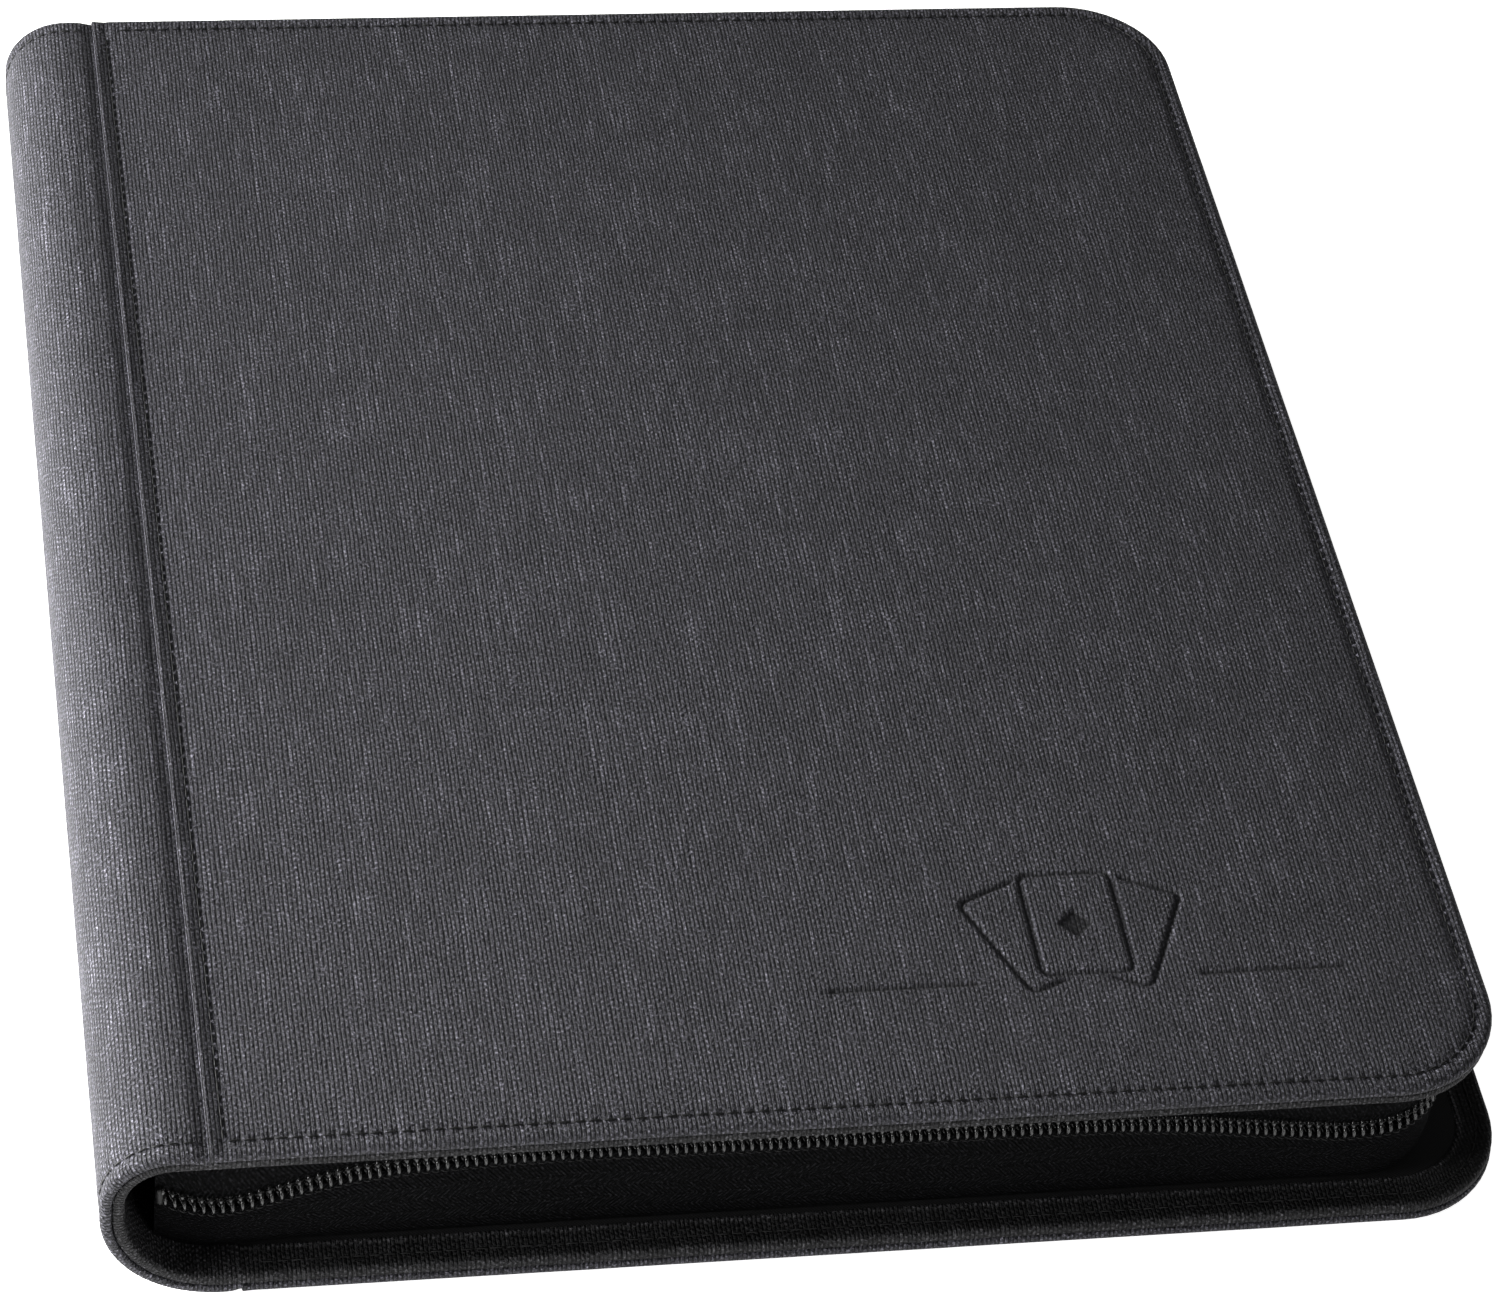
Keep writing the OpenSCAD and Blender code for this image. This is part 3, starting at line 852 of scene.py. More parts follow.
@dataclass
class Panel:
    """Grid of one cover panel: its flat field, and the rim from which rings follow the edge outwards."""

    end: float
    length: float
    corner: float
    columns: Array
    rows: Array
    tail: int = 10
    x: Array = field(init=False)
    y: Array = field(init=False)
    rim: Array = field(init=False)
    out: Array = field(init=False)
    run: Array = field(init=False)
    numbers: Array = field(init=False)

    def __post_init__(self) -> None:
        """Work out the field and the line where the rings start."""
        r = self.corner - FIELD_INSET
        foot, head = FIELD_INSET + r, self.length - FIELD_INSET - r
        round_x = self.end - FIELD_INSET - r
        lift = np.maximum(np.maximum(foot - self.rows, self.rows - head), 0)
        edge = round_x + np.sqrt(np.maximum(r * r - lift * lift, 0))
        last = self.columns[-1]
        share = np.linspace(0, 1, self.tail + 1)[1:]
        fixed = np.tile(self.columns, (len(self.rows), 1))
        self.x = np.hstack([fixed, last + (edge - last)[:, None] * share[None, :]])
        self.y = np.tile(self.rows[:, None], (1, self.x.shape[1]))
        n_row, n_col = self.x.shape
        away = np.column_stack([edge - round_x, self.rows - np.clip(self.rows, foot, head)])
        away[lift == 0] = [1, 0]
        away /= np.linalg.norm(away, axis=1)[:, None]
        self.rim = np.vstack([
            np.column_stack([self.x[0], self.y[0]]),
            np.column_stack([edge, self.rows])[1:],
            np.column_stack([self.x[-1], self.y[-1]])[-2::-1],
        ])
        self.out = np.vstack([np.tile([0, -1.0], (n_col, 1)), away[1:], np.tile([0, 1.0], (n_col - 1, 1))])
        grid = np.arange(n_row * n_col).reshape(n_row, n_col)
        self.numbers = np.concatenate([grid[0], grid[1:, -1], grid[-1, -2::-1]])
        self.run = run_of(self.at(0.0))

    def at(self, inset: float) -> Array:
        """Return the line that follows the cover's edge at an inset from it."""
        return self.rim + self.out * (FIELD_INSET - inset)


def stitch_arch() -> Array:
    """Return how far each point of one stitch stands out of the cloth."""
    return THREAD_ARCH * np.sin(np.linspace(0, math.pi, THREAD_POINTS))


@dataclass
class Cover:
    """One padded cover: its cloth, its hem and lining, and the stitching round it."""

    bench: Bench
    finishes: FinishSet
    side: Side
    emblem: Optional[Emblem] = None
    hinge_stitch: float = 2.9
    hinge_depth: float = 0.2
    thread_sink: float = 0.22
    cord_inset: float = 8.1
    hem_depth: float = 4.4
    crown: float = 0.3

    def __post_init__(self) -> None:
        """Pick the hinge seam, the fore edge and the seed of this cover."""
        front = self.side is Side.FRONT
        self.start = 0.0 if front else self.bench.back_seam
        self.end = self.bench.width if front else self.bench.back_edge
        self.seed = 11 if front else 23

    def _deep(self, x: Array, y: Array, depth: Array) -> Array:
        """Return bench points that lie a depth under the outer face of this cover."""
        z = self.bench.thick - depth if self.side is Side.FRONT else depth
        return np.column_stack([np.ravel(x), np.ravel(y), np.ravel(z)])

    def _columns(self, stop: float) -> Array:
        """Return the columns of the field, close together at the hinge and under the emblem."""
        hinge = self.start + np.array(HINGE_COLUMNS)
        if self.emblem is None:
            return np.concatenate([hinge, np.linspace(self.start + 12, stop, 60)])
        reach = self.emblem.card * 2.68
        low, high = self.emblem.x - reach, self.emblem.x + reach
        return np.concatenate([
            hinge,
            np.linspace(self.start + 12, low, 36, endpoint=False),
            np.arange(low, high, self.emblem.grid),
            np.linspace(high, stop, 4),
        ])

    def _rows(self, turns: int, straight: int) -> Array:
        """Return rows from the foot to the head, close together round the corners.

        Args:
            turns: Rows round one corner.
            straight: Rows on the straight between the corners, with both ends.

        Returns:
            The place of each row.
        """
        turn = (self.bench.corner - FIELD_INSET) * (1 - np.cos(np.linspace(0, math.pi / 2, turns)))
        low, high = FIELD_INSET + turn, self.bench.length - FIELD_INSET - turn[::-1]
        middle = np.linspace(low[-1], high[0], straight)[1:-1]
        return np.concatenate([low, middle, high])

    def _emblem_rows(self) -> Array:
        """Return the rows of a field that carries the emblem."""
        plain = self._rows(CORNER_ROWS, 2)
        low, high = plain[:CORNER_ROWS], plain[CORNER_ROWS:]
        top = self.emblem.y + self.emblem.card * 1.25
        grid = self.emblem.grid
        fine = np.arange(low[-1] + grid, top, grid)
        return np.concatenate([low, fine, np.linspace(top, high[0], 70, endpoint=False), high])

    def _panel(self, columns: Array, rows: Array) -> Panel:
        """Return the grid of this cover for its columns and rows."""
        return Panel(self.end, self.bench.length, self.bench.corner, columns, rows)

    def _even_panel(self, columns: int, turns: int, straight: int, start: float = 0.0) -> Panel:
        """Return a grid with evenly spread columns, the first a distance from the seam."""
        places = np.linspace(self.start + start, self.end - COLUMNS_INSET, columns)
        return self._panel(places, self._rows(turns, straight))

    def cloth(self) -> Piece:
        """Return the padded cloth with its rolled edge, sewn groove and folded hinge edge."""
        bench = self.bench
        rows = self._rows(CORNER_ROWS, 90) if self.emblem is None else self._emblem_rows()
        panel = self._panel(self._columns(self.end - COLUMNS_INSET), rows)
        shape = Shape()
        from_hinge = panel.x - self.start
        to_ends = np.minimum(panel.y - FIELD_INSET, bench.length - FIELD_INSET - panel.y)
        to_rim = np.minimum(to_ends, panel.x[:, -1:] - panel.x)
        puff = self.crown * (1 - np.exp(-np.maximum(np.minimum(to_rim, from_hinge - 4), 0) / 9.0))
        swell = 0.05 * soft_noise(panel.x * 0.7 + panel.y * 0.4, self.seed, 4, 140.0)
        depth = self._hinge_groove(from_hinge) - puff - swell * np.clip(to_rim / 20, 0, 1)
        pressed = np.zeros_like(depth)
        if self.emblem is not None:
            pressed = self.emblem.press(panel.x, panel.y)
            depth = depth + self.emblem.depth * pressed
        shape.add(
            self._deep(panel.x, panel.y, depth),
            np.column_stack([panel.x.ravel(), panel.y.ravel()]),
            np.column_stack([np.full(depth.size, FIELD_EDGE), np.zeros(depth.size), pressed.ravel()]),
        )
        shape.grid(0, *panel.x.shape)
        profile = np.array(ROLLED_EDGE)
        off_hinge = np.full(panel.x.shape[0] - 1, FAR_EDGE)
        hinge_side = np.concatenate([from_hinge[0], off_hinge, from_hinge[-1][-2::-1]])
        self._rings(shape, panel, panel.numbers, profile, self._hinge_groove(hinge_side), FIELD_INSET)
        self._fold(shape, panel, profile)
        piece = shape.build(f"{self.side.value}_cover_cloth", bench, self.finishes.cover)
        settle(piece, self.side.body, "cover_cloth", f"{self.side.value}_cloth")
        return piece

    def _hinge_groove(self, x: Array) -> Array:
        """Return the depth beside the hinge: a proud fold that slopes down into the sewn groove."""
        places = [0.2, *(self.hinge_stitch + np.array([-0.3, 0.1, 0.9, 2.2]))]
        return np.interp(x, places, [-0.42, 0.2, 0.32, 0.05, 0.0])

    def _rings(
        self, shape: Shape, panel: Panel, first_line: Array, profile: Array, extra: Array,
        top: float,
    ) -> None:
        """Add the rings that carry the cloth over the edge.

        Args:
            shape: Where the points go.
            panel: The grid of the panel.
            first_line: Numbers of the points where the rings start.
            profile: Inset and depth of each ring.
            extra: Depth added at each point of the rim.
            top: Inset of the line where the rings start.
        """
        line = first_line
        run_out, last = 0.0, np.array([top, 0.0])
        wander = 0.07 * soft_noise(panel.run, self.seed + 5, 8, 70.0)
        for inset, depth in profile:
            run_out += float(np.hypot(*(np.array([inset, depth]) - last)))
            last = np.array([inset, depth])
            place = panel.at(inset)
            fade = extra * np.clip(inset / 1.2, 0, 1)
            points = self._deep(place[:, 0], place[:, 1], depth + fade + wander * min(depth, 1.0))
            flat = panel.at(top - run_out)
            edge = np.column_stack([np.full(len(place), inset), panel.run, np.zeros(len(place))])
            first = shape.add(points, flat, edge)
            ring = first + np.arange(len(place))
            shape.strip(line, ring)
            line = ring

    def _fold(self, shape: Shape, panel: Panel, profile: Array) -> None:
        """Add the folded edge of the cloth along the hinge seam.

        Args:
            shape: Where the points go.
            panel: The grid of the panel.
            profile: Inset and depth of the rolled edge, which the fold follows at both ends.
        """
        insets = np.concatenate([profile[::-1, 0], [FIELD_INSET]])
        depths = np.concatenate([profile[::-1, 1], [0.0]])
        rows = panel.rows[1:-1]
        y = np.concatenate([insets, rows, self.bench.length - insets[::-1]])
        d = np.concatenate([depths, np.zeros(len(rows)), depths[::-1]])
        level = np.clip(1 - d / 0.6, 0, 1)
        wave = 0.05 * soft_noise(y, self.seed + 9, 7, 60.0)
        edge = np.column_stack([np.full(len(y), FIELD_EDGE), y, np.zeros(len(y))])
        first_column = HINGE_COLUMNS[0]
        groove = float(self._hinge_groove(np.array([first_column]))[0])
        lines = []
        for away, sunk, flat in (*HINGE_FOLD, (first_column, groove, first_column)):
            depth = np.clip(d + sunk * (level if sunk < 0 else 1.0), -1.0, 2.3)
            depth = depth + wave * (away < 0.7)
            points = self._deep(np.full(len(y), self.start + away), y, depth)
            first = shape.add(points, np.column_stack([np.full(len(y), self.start + flat), y]), edge)
            lines.append(first + np.arange(len(y)))
        for one, other in zip(lines[:-1], lines[1:]):
            shape.strip(one, other)

    def hem(self) -> Piece:
        """Return the turned-in hem round the inside of the cover."""
        bench, shape = self.bench, Shape()
        panel = self._even_panel(90, CORNER_ROWS, 100)
        place = panel.at(self.cord_inset)
        depth = np.full(len(place), self.hem_depth)
        first = shape.add(self._deep(place[:, 0], place[:, 1], depth), panel.rim)
        numbers = first + np.arange(len(place))
        self._rings(shape, panel, numbers, np.array(HEM_EDGE), np.zeros(len(place)), self.cord_inset)
        piece = shape.build(f"{self.side.value}_cover_hem", bench, self.finishes.hem)
        settle(piece, self.side.body, "hem_cloth", f"{self.side.value}_hem")
        return piece

    def lining(self) -> Piece:
        """Return the lining glued inside the hem."""
        bench, shape = self.bench, Shape()
        panel = self._even_panel(60, 12, 70)
        relief = bench.cover - 0.04 + 0.05 * soft_noise(panel.x + 0.6 * panel.y, self.seed + 3, 5, 160.0)
        shape.add(self._deep(panel.x, panel.y, relief), np.column_stack([panel.x.ravel(), panel.y.ravel()]))
        shape.grid(0, *panel.x.shape)
        piece = shape.build(f"{self.side.value}_cover_lining", bench, self.finishes.lining)
        settle(piece, self.side.body, "lining_cloth", f"{self.side.value}_lining")
        return piece

    def stitching(self) -> Piece:
        """Return the threads sewn along the edge and beside the hinge."""
        bench, shape = self.bench, Shape()
        path = self._even_panel(60, 30, 60, start=3.4).at(STITCH_INSET)
        self._sew(shape, path, STITCH_DEPTH)
        self._sew(shape, path, bench.cover - self.thread_sink)
        rows = np.linspace(STITCH_INSET, bench.length - STITCH_INSET, 60)
        hinge = np.column_stack([np.full(len(rows), self.start + self.hinge_stitch), rows])
        self._sew(shape, hinge, self.hinge_depth)
        piece = shape.build(f"{self.side.value}_cover_stitching", bench, self.finishes.thread, turn=False)
        return settle(piece, self.side.body, "hem_cloth")

    def _sew(self, shape: Shape, path: Array, depth: float) -> None:
        """Add one row of stitches.

        Args:
            shape: Where the points go.
            path: The row, two numbers to a point.
            depth: Depth of the thread under the outer face.
        """
        runs = run_of(path)
        inner = 1.0 if depth > self.bench.cover / 2 else -1.0
        for start in np.arange(0.4, runs[-1] - STITCH_PITCH, STITCH_PITCH):
            places = np.linspace(start, start + STITCH_PITCH * 0.82, THREAD_POINTS)
            x, y = read_off(places, runs, path).T
            bead_line(shape, self._deep(x, y, depth + inner * stitch_arch()))


# --------------------------------------------------------------------------------------------
# Spine
# --------------------------------------------------------------------------------------------


@dataclass
class Spine:
    """The rounded spine: a padded cloth band and its lining, which open out over six hinges."""

    bench: Bench
    finishes: FinishSet
    bands: int = 6
    tuck: float = 0.75
    chain: tuple = ("back_cover", "spine_1", "spine_2", "spine_3", "spine_4", "spine_5", "front_cover")

    def __post_init__(self) -> None:
        """Work out the section of the spine from the back seam to the front seam."""
        b = self.bench
        base = np.array([b.base_radius - b.bulge, b.base_radius])
        top = np.array([b.top_radius - b.bulge, b.thick - b.top_radius])
        low_turn = np.radians(np.arange(270, 179.9, -1.0))
        low = np.column_stack([np.cos(low_turn), np.sin(low_turn)])
        high_turn = np.radians(np.arange(180, 89.9, -1.5))
        high = np.column_stack([np.cos(high_turn), np.sin(high_turn)])
        foot = np.column_stack([np.linspace(b.back_seam, base[0], 12, endpoint=False), np.zeros(12)])
        head_x = np.linspace(top[0], 0.0, 17)[1:]
        head = np.column_stack([head_x, np.full(len(head_x), b.thick)])
        self.line = np.vstack([foot, base + b.base_radius * low, top + b.top_radius * high, head])
        self.inward = np.vstack([
            np.tile([0, 1.0], (len(foot), 1)), -low, -high, np.tile([0, -1.0], (len(head), 1))
        ])
        self.run = run_of(self.line)
        folds = {joint["name"]: joint for joint in frame["joints"]}
        hinges = []
        for number in range(1, self.bands + 1):
            place = folds[f"spine_hinge_{number}"]["pos_m"]
            x, z = place[0] / MM - b.seam, place[2] / MM
            nearest = np.argmin(np.hypot(self.line[:, 0] - x, self.line[:, 1] - z))
            hinges.append(self.run[int(nearest)])
        middles = [(p + q) / 2 for p, q in zip(hinges[:-1], hinges[1:])]
        self.cuts = [0.0, *middles, float(self.run[-1])]

    def _at(self, run: Array) -> tuple:
        """Return the place and the inward direction at places along the section."""
        inward = read_off(run, self.run, self.inward)
        return read_off(run, self.run, self.line), inward / np.linalg.norm(inward, axis=1)[:, None]

    def _band(
        self, number: int, profile: Array, middle: float, name: str, material: Material,
        tuck: float,
    ) -> Piece:
        """Return one of the six bands of a layer.

        Args:
            number: Band number, from 0 at the back cover.
            profile: Distance from the end of the spine and depth, from the hidden edge to the face.
            middle: Depth of the face.
            name: Name of the piece.
            material: The finish.
            tuck: How far the layer dips where it goes under the covers' folded edges.

        Returns:
            The new piece.
        """
        b = self.bench
        low, high = self.cuts[number], self.cuts[number + 1]
        run = np.linspace(low, high, max(8, int((high - low) / 0.42)))
        line, inward = self._at(run)
        total = self.run[-1]
        dip = tuck * (np.exp(-((run / 1.6) ** 2)) + np.exp(-(((total - run) / 2.2) ** 2)))
        span = np.linspace(FIELD_INSET, b.length - FIELD_INSET, 60)
        y = np.concatenate([profile[:, 0], span, b.length - profile[::-1, 0]])
        d = np.concatenate([profile[:, 1], np.full(len(span), middle), profile[::-1, 1]])
        arc = run_of(np.column_stack([y, d]))
        flat_v = arc + (FIELD_INSET - arc[len(profile)])
        still = np.zeros(len(profile))
        bulge = np.concatenate([still, 0.05 * soft_noise(span, 5 + number, 5, 120.0), still])
        swell = np.sin(math.pi * (run - low) / (high - low))
        depth = d[None, :] + dip[:, None] + bulge[None, :] * swell[:, None]
        x = line[:, :1] + inward[:, :1] * depth
        z = line[:, 1:] + inward[:, 1:] * depth
        points = np.stack([x, np.tile(y, (len(run), 1)), z], axis=-1).reshape(-1, 3)
        flat_u = np.tile((run - total)[:, None], (1, len(y)))
        weave = np.stack([flat_u, np.tile(flat_v, (len(run), 1))], axis=-1)
        shape = Shape()
        shape.add(points, weave.reshape(-1, 2))
        shape.grid(0, len(run), len(y))
        piece = shape.build(name, b, material)
        self._bend(piece, number)
        return piece

    def _bend(self, piece: Piece, number: int) -> None:
        """Bake a piece's placement into its mesh."""
        b = self.bench
        ends, _ = self._at(np.array([self.cuts[number], self.cuts[number + 1]]))
        start, end = (b.spot(x, b.length / 2, z) for x, z in ends)
        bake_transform(piece)

    def build(self) -> list:
        """Return the cloth, the lining and the stitches of each of the six bands."""
        outer, inner = np.array(ROLLED_EDGE)[::-1], np.array(LINER_EDGE)
        pieces = []
        for number in range(self.bands):
            band = self._band(number, outer, 0.0, f"spine_cloth_{number + 1}", self.finishes.cover, self.tuck)
            liner = self._band(
                number, inner, self.bench.cover, f"spine_liner_{number + 1}", self.finishes.hem, 0.0
            )
            for piece, slot, part in ((band, "spine_cloth", "strip"), (liner, "hem_cloth", "lining")):
                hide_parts(f"spine_{part}_{number}" if number else f"back_spine_{part}")
                if number == self.bands - 1:
                    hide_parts(f"front_spine_{part}")
            pieces += [band, liner, self._sewn(number)]
        return pieces

    def _sewn(self, number: int) -> Piece:
        """Return the stitches along both ends of one band.

        Args:
            number: Band number, from 0 at the back cover.

        Returns:
            The new piece.
        """
        b, shape = self.bench, Shape()
        low, high = self.cuts[number], self.cuts[number + 1]
        long = STITCH_PITCH * 0.8
        for start in np.arange(0.3, self.run[-1] - 2.6, STITCH_PITCH):
            if not low <= start + long / 2 < high:
                continue
            line, inward = self._at(np.clip(np.linspace(start, start + long, THREAD_POINTS), low, high))
            place = line + inward * (STITCH_DEPTH - stitch_arch())[:, None]
            for y in (STITCH_INSET, b.length - STITCH_INSET):
                bead_line(shape, np.column_stack([place[:, 0], np.full(THREAD_POINTS, y), place[:, 1]]))
        piece = shape.build(f"spine_stitching_{number + 1}", b, self.finishes.thread, turn=False)
        self._bend(piece, number)
        return piece


# --------------------------------------------------------------------------------------------
# Zip
# --------------------------------------------------------------------------------------------


@dataclass
class Zip:
    """The coil zip: two tapes, two rows of nylon loops and the sewing that holds them."""

    bench: Bench
    finishes: FinishSet
    foot_tail: float = 9.4
    head_tail: float = 6.0
    parking: float = 15.6
    seat: float = 0.25
    tape_edge: float = 1.5
    tape_step: float = 1.6
    slack: float = 0.9
    pitch: float = 1.87
    wire: float = 0.4
    level: float = 27.0
    corner: float = 16.0

    def __post_init__(self) -> None:
        """Work out the line of the zip from the foot side round to the head side."""
        b = self.bench
        edge, near, far, r = b.width - b.zip_inset, b.zip_inset, b.length - b.zip_inset, self.corner
        turn = np.radians(np.linspace(0, 90, 31))
        low_turn = turn - math.pi / 2
        along_foot = np.linspace(-self.foot_tail, edge - r, 160, endpoint=False)
        along_head = np.linspace(edge - r, -self.head_tail, 161)[1:]
        self.line = np.vstack([
            np.column_stack([along_foot, np.full(160, near)]),
            np.column_stack([edge - r + r * np.cos(low_turn), near + r + r * np.sin(low_turn)]),
            np.column_stack([np.full(150, edge), np.linspace(near + r, far - r, 152)[1:-1]]),
            np.column_stack([edge - r + r * np.cos(turn), far - r + r * np.sin(turn)]),
            np.column_stack([along_head, np.full(160, far)]),
        ])
        self.run = run_of(self.line)
        tangent = np.gradient(self.line, self.run, axis=0)
        tangent /= np.linalg.norm(tangent, axis=1)[:, None]
        self.out = np.column_stack([tangent[:, 1], -tangent[:, 0]])
        self.total = float(self.run[-1])

    def _stop_at(self, side: Side, short: float) -> float:
        """Return where a row ends: short of the line's end, and on the front clear of the parked slider."""
        return self.total - short - (0.0 if side is Side.BACK else self.parking)

    def height(self, run: Array) -> Array:
        """Return the height of the middle of the chain, which dips where the tapes are slack.

        Args:
            run: Place along the zip.

        Returns:
            The height above the underside.
        """
        stops, rises = np.array(SLACK, float).T
        fine = np.linspace(0, stops[-1], 400)
        kernel = np.hanning(9)
        padded = np.pad(np.interp(fine, stops, rises), len(kernel) // 2, mode="edge")
        smooth = np.convolve(padded, kernel / kernel.sum(), mode="valid")
        return self.level + np.interp(run, fine, smooth)

    def sway(self, run: Array) -> Array:
        """Return how far the tapes bulge outwards."""
        calm = np.clip((self.total - 260 - run) / 60, 0, 1)
        return 0.45 * soft_noise(run, 31, 5, 110.0) * calm

    def _spot(self, run: Array, away: Array, z: Array) -> Array:
        """Return bench points beside the line of the zip."""
        out = read_off(run, self.run, self.out)
        out /= np.linalg.norm(out, axis=1)[:, None]
        place = read_off(run, self.run, self.line) + out * np.asarray(away)[:, None]
        return np.column_stack([place, z])

    def _floor_rise(self, run: Array) -> Array:
        """Return how far the inside of the rounded spine rises above the back lining under the zip."""
        b = self.bench
        inner = b.base_radius - b.cover
        behind = b.base_radius - b.bulge - np.interp(run, self.run, self.line[:, 0])
        curve = inner - np.sqrt(np.maximum(inner**2 - np.maximum(behind, 0) ** 2, 0))
        return np.where(behind > 0, curve + 0.2, 0.0)

    def tape(self, side: Side) -> Piece:
        """Return one tape: a sewn foot on the lining and a wall that reaches the chain.

        Args:
            side: The cover that it is sewn to.

        Returns:
            The new piece.
        """
        b, back = self.bench, side is Side.BACK
        stop = self._stop_at(side, 0.0)
        run = np.arange(0.0, stop, self.tape_step)
        under = b.cover + self.seat
        low = under + self._floor_rise(run) if back else np.full(len(run), b.thick - under)
        wall = self.height(run) + (-self.tape_edge if back else self.tape_edge) - low
        rows = [(-5.6, 0.0), (-3.0, 0.0), (-0.9, 0.02), (-0.2, 0.1)]
        rows += [(0.0, share) for share in np.linspace(0.18, 1.0, 12 if back else 7)]
        sway = self.sway(run)
        step = np.clip((run - 12.0) / 8.0, 0, 1) * np.clip((self.total - 12.0 - run) / 8.0, 0, 1)
        shape = Shape()
        layers, flats = [], []
        reach = 0.0
        for away, share in rows:
            bulge = (sway + self.slack * (1 if back else 0.3)) * math.sin(math.pi * share)
            layers.append(self._spot(run, away * (step if away < -0.5 else 1) + bulge, low + wall * share))
            if len(layers) > 1:
                reach += float(np.mean(np.linalg.norm(layers[-1] - layers[-2], axis=1)))
            flats.append(np.column_stack([run, np.full(len(run), reach)]))
        shape.add(np.vstack(layers), np.vstack(flats))
        shape.grid(0, len(rows), len(run))
        piece = shape.build(f"zip_tape_{side.value}", b, self.finishes.tape)
        settle(piece, side.body, "zip_tape", f"{side.value}_zip_tape")
        return piece

    def coil(self, side: Side) -> Piece:
        """Return one row of nylon loops, which mesh with the other row.

        Args:
            side: The cover whose tape carries the row.

        Returns:
            The new piece.
        """
        back = side is Side.BACK
        start = 2.0 if back else 0.6
        turns = int((self._stop_at(side, 1.8 if back else 0.6) - start) / self.pitch) - 1
        turn = np.linspace(0, 2 * math.pi, 12, endpoint=False)
        forward = np.clip((turn - math.pi) / math.pi, 0, 1)
        angle = np.tile(turn - math.pi / 2, turns)
        lag = 0.0 if back else self.pitch / 2
        loops = np.repeat(np.arange(turns), len(turn)) + np.tile(forward, turns)
        run = start + lag + self.pitch * loops
        middle, tall, deep = (-1.0, 1.25, 1.1) if back else (1.4, 0.75, 0.8)
        z = self.height(run) + middle + tall * np.sin(angle)
        shape = Shape()
        bead_line(shape, self._spot(run, deep * np.cos(angle), z), self.wire, 6)
        piece = shape.build(f"zip_coil_{side.value}", self.bench, self.finishes.nylon, turn=False)
        return settle(piece, side.body, "zip_nylon", f"{side.value}_zip_coil")

    def stop(self) -> Piece:
        """Return the moulded block that closes the chain at its foot end."""
        shape = Shape()
        sides = 20
        turn = np.linspace(0, 2 * math.pi, sides, endpoint=False)
        across, up = np.cos(turn), np.sin(turn)
        across, up = np.sign(across) * np.abs(across) ** 0.4, np.sign(up) * np.abs(up) ** 0.4
        ring = np.append(np.arange(sides), 0)
        sections = ((0.15, 0.55), (0.35, 0.9), (0.9, 1.0), (1.5, 0.9), (1.7, 0.55))
        for run, grow in sections:
            spot = np.full(sides, run)
            shape.add(self._spot(spot, 1.25 * grow * across, self.height(spot) + 2.3 * grow * up))
        for k in range(len(sections) - 1):
            shape.strip(ring + k * sides, ring + (k + 1) * sides)
        for k in (0, len(sections) - 1):
            spot = np.array([sections[k][0]])
            middle = shape.add(self._spot(spot, np.zeros(1), self.height(spot)))
            rim = ring + k * sides
            fan = [rim[:-2:2], rim[1:-1:2], rim[2::2], np.full(sides // 2, middle)]
            shape.faces.append(np.column_stack(fan))
        piece = shape.build("zip_chain_stop", self.bench, self.finishes.thread)
        return settle(piece, "back_cover", "zip_nylon", "zip_start_stop")

    def sewing(self, side: Side) -> Piece:
        """Return the chain stitch that holds a row of loops on its tape.

        Args:
            side: The cover whose tape carries the row.

        Returns:
            The new piece.
        """
        back, shape = side is Side.BACK, Shape()
        ease = np.linspace(-1, 1, 4)
        for start in np.arange(2.6, self._stop_at(side, 2.5 if back else 1.4), self.pitch):
            run = np.linspace(start, start + self.pitch * 0.9, 4)
            z = self.height(run) + (-1.0 if back else 1.0) * (2.2 + np.linspace(-0.2, 0.25, 4))
            bead_line(shape, self._spot(run, 1.25 - 0.2 * ease**2, z), 0.15, 4)
        piece = shape.build(f"zip_sewing_{side.value}", self.bench, self.finishes.thread, turn=False)
        return settle(piece, side.body, "zip_tape")


# --------------------------------------------------------------------------------------------
# Carried-over pieces, stage and camera
# --------------------------------------------------------------------------------------------


@dataclass
class Carried:
    """Nodes that are shown as they were made, each with its own finish."""

    finishes: FinishSet

    def dress(self) -> int:
        """Give every carried-over node its finish and return how many were dressed."""
        looks = self.finishes
        kinds = (
            (r".*_foam", looks.foam), (r".*_board", looks.board), (r"leaf_.*", looks.page),
            (r"slider_.*|zip_(start|end).*", looks.metal), (r"binding_tape.*", looks.binding),
        )
        dressed = 0
        for name, node in frame["nodes"].items():
            for pattern, material in kinds:
                if re.fullmatch(pattern, name):
                    node.data.materials.clear()
                    node.data.materials.append(material)
                    dressed += 1
                    break
        return dressed


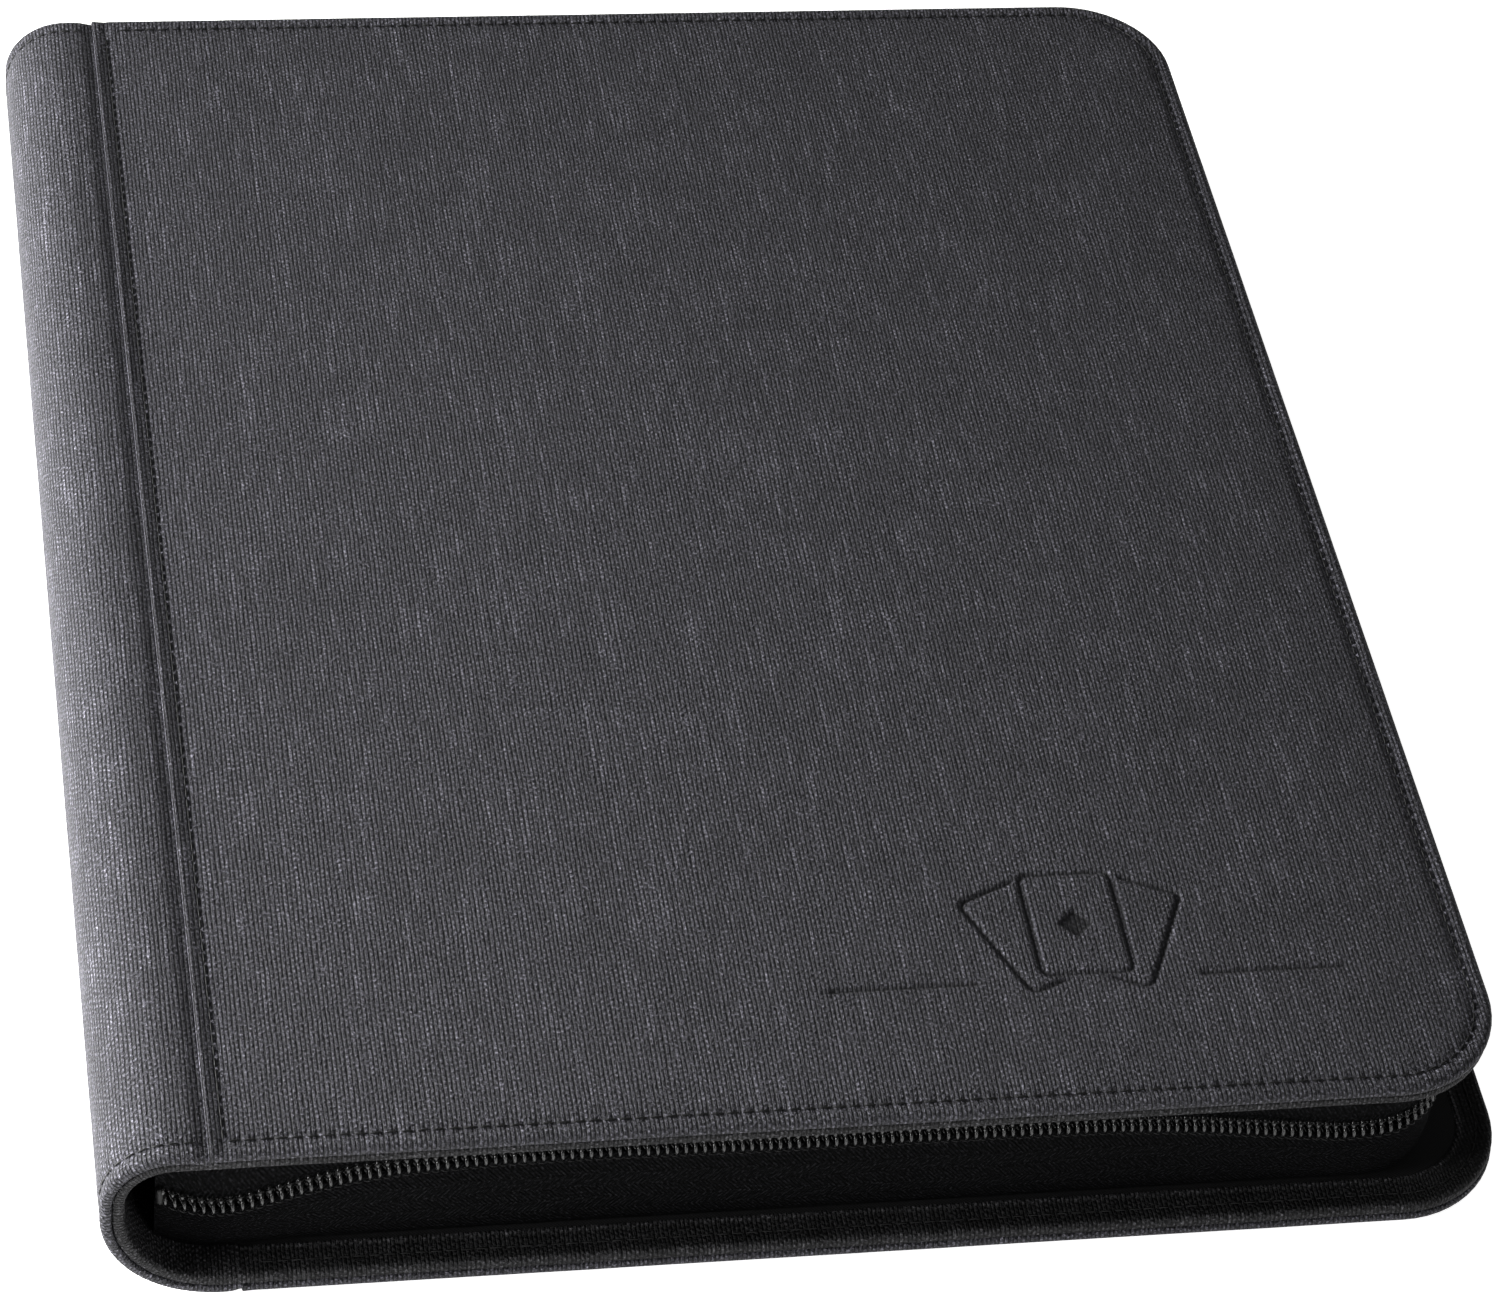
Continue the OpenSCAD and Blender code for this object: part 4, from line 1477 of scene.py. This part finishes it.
@dataclass
class Studio:
    """Pale floor, soft lights and the camera."""

    lens: float = 120.86
    place: tuple = (-0.189375, -0.786388, 0.777947)
    right: tuple = (0.98304379, -0.15463923, 0.09854757)
    up: tuple = (0.03838967, 0.69907083, 0.71402115)
    back: tuple = (-0.17930741, -0.69813085, 0.69315378)
    floor_half: float = 6.0
    floor_gap: float = 0.0006
    glow: float = 0.16

    def floor(self) -> None:
        """Lay a pale floor that reaches past the view."""
        mesh = bpy.data.meshes.new("floor")
        s = self.floor_half
        mesh.from_pydata([(-s, -s, 0), (s, -s, 0), (s, s, 0), (-s, s, 0)], [], [(0, 1, 2, 3)])
        floor = bpy.data.objects.new("floor", mesh)
        floor.location.z = -self.floor_gap
        bpy.context.scene.collection.objects.link(floor)
        bench = NodeBench("pale_floor")
        bench.surface(
            base_color=(0.85, 0.85, 0.85, 1), emission_color=(1, 1, 1, 1), emission_strength=0.85,
            roughness=0.9, specular_ior_level=0.1,
        )
        mesh.materials.append(bench.material)

    def lamp(
        self, name: str, place: Sequence[float], aim: Sequence[float], size: tuple, power: float
    ) -> None:
        """Hang one soft light.

        Args:
            name: Name of the light.
            place: Where it hangs, in metres.
            aim: The point that it faces.
            size: Width and height of its face.
            power: Its power in watts.
        """
        data = bpy.data.lights.new(name, "AREA")
        data.shape = "RECTANGLE"
        data.size, data.size_y = size
        data.energy = power
        lamp = bpy.data.objects.new(name, data)
        lamp.location = place
        lamp.rotation_euler = (Vector(aim) - Vector(place)).to_track_quat("-Z", "Z").to_euler()
        lamp.visible_camera = False
        bpy.context.scene.collection.objects.link(lamp)

    def light(self) -> None:
        """Hang the lights and set the room's glow."""
        self.lamp(
            "left_softbox", place=(-0.7, -0.02, 0.2), aim=(-0.05, -0.02, 0.02), size=(0.35, 0.8), power=33.0
        )
        self.lamp("head_softbox", place=(-0.3, 1.7, 1.0), aim=(0, 0, 0.02), size=(1.4, 1.4), power=4.0)
        self.lamp("foot_glint", place=(0.55, -1.1, 0.45), aim=(0.08, -0.17, 0.02), size=(0.3, 0.3), power=3.4)
        world = bpy.data.worlds.new("studio_room")
        world.use_nodes = True
        glow = world.node_tree.nodes["Background"]
        glow.inputs[0].default_value = (1, 1, 1, 1)
        glow.inputs[1].default_value = self.glow
        bpy.context.scene.world = world
        bpy.context.scene.view_settings.view_transform = "Standard"

    def camera(self) -> None:
        """Set up the camera."""
        data = bpy.data.cameras.new("camera")
        data.lens = self.lens
        data.sensor_width = 36.0
        data.sensor_fit = "HORIZONTAL"
        data.clip_start, data.clip_end = 0.05, 50
        eye = bpy.data.objects.new("camera", data)
        turn = Matrix((self.right, self.up, self.back)).transposed()
        eye.matrix_world = Matrix.Translation(self.place) @ turn.to_4x4()
        bpy.context.scene.collection.objects.link(eye)
        bpy.context.scene.camera = eye


def report(step: str, made: object) -> None:
    """Log what a step made."""
    names = [p.name for p in made] if isinstance(made, list) else [getattr(made, "name", str(made))]
    LOG.info("%s: %s", step, ", ".join(names))


def main() -> None:
    """Build every sub-assembly in order."""
    logging.basicConfig(level=logging.INFO, format="%(name)s: %(message)s")
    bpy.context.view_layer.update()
    studio = Studio()
    studio.camera()
    bench = Bench.read()
    finishes = FinishSet()
    emblem = Emblem(x=bench.width - EMBLEM_PLACE[0], y=EMBLEM_PLACE[1])
    for cover in (Cover(bench, finishes, Side.FRONT, emblem), Cover(bench, finishes, Side.BACK)):
        report("cloth", cover.cloth())
        report("hem", cover.hem())
        report("lining", cover.lining())
        report("stitching", cover.stitching())
    report("spine", Spine(bench, finishes).build())
    zipper = Zip(bench, finishes)
    for side in Side:
        report("tape", zipper.tape(side))
        report("coil", zipper.coil(side))
        report("sewing", zipper.sewing(side))
    report("stop", zipper.stop())
    report("carried over", Carried(finishes).dress())
    studio.floor()
    studio.light()


if __name__ == "__main__":
    main()
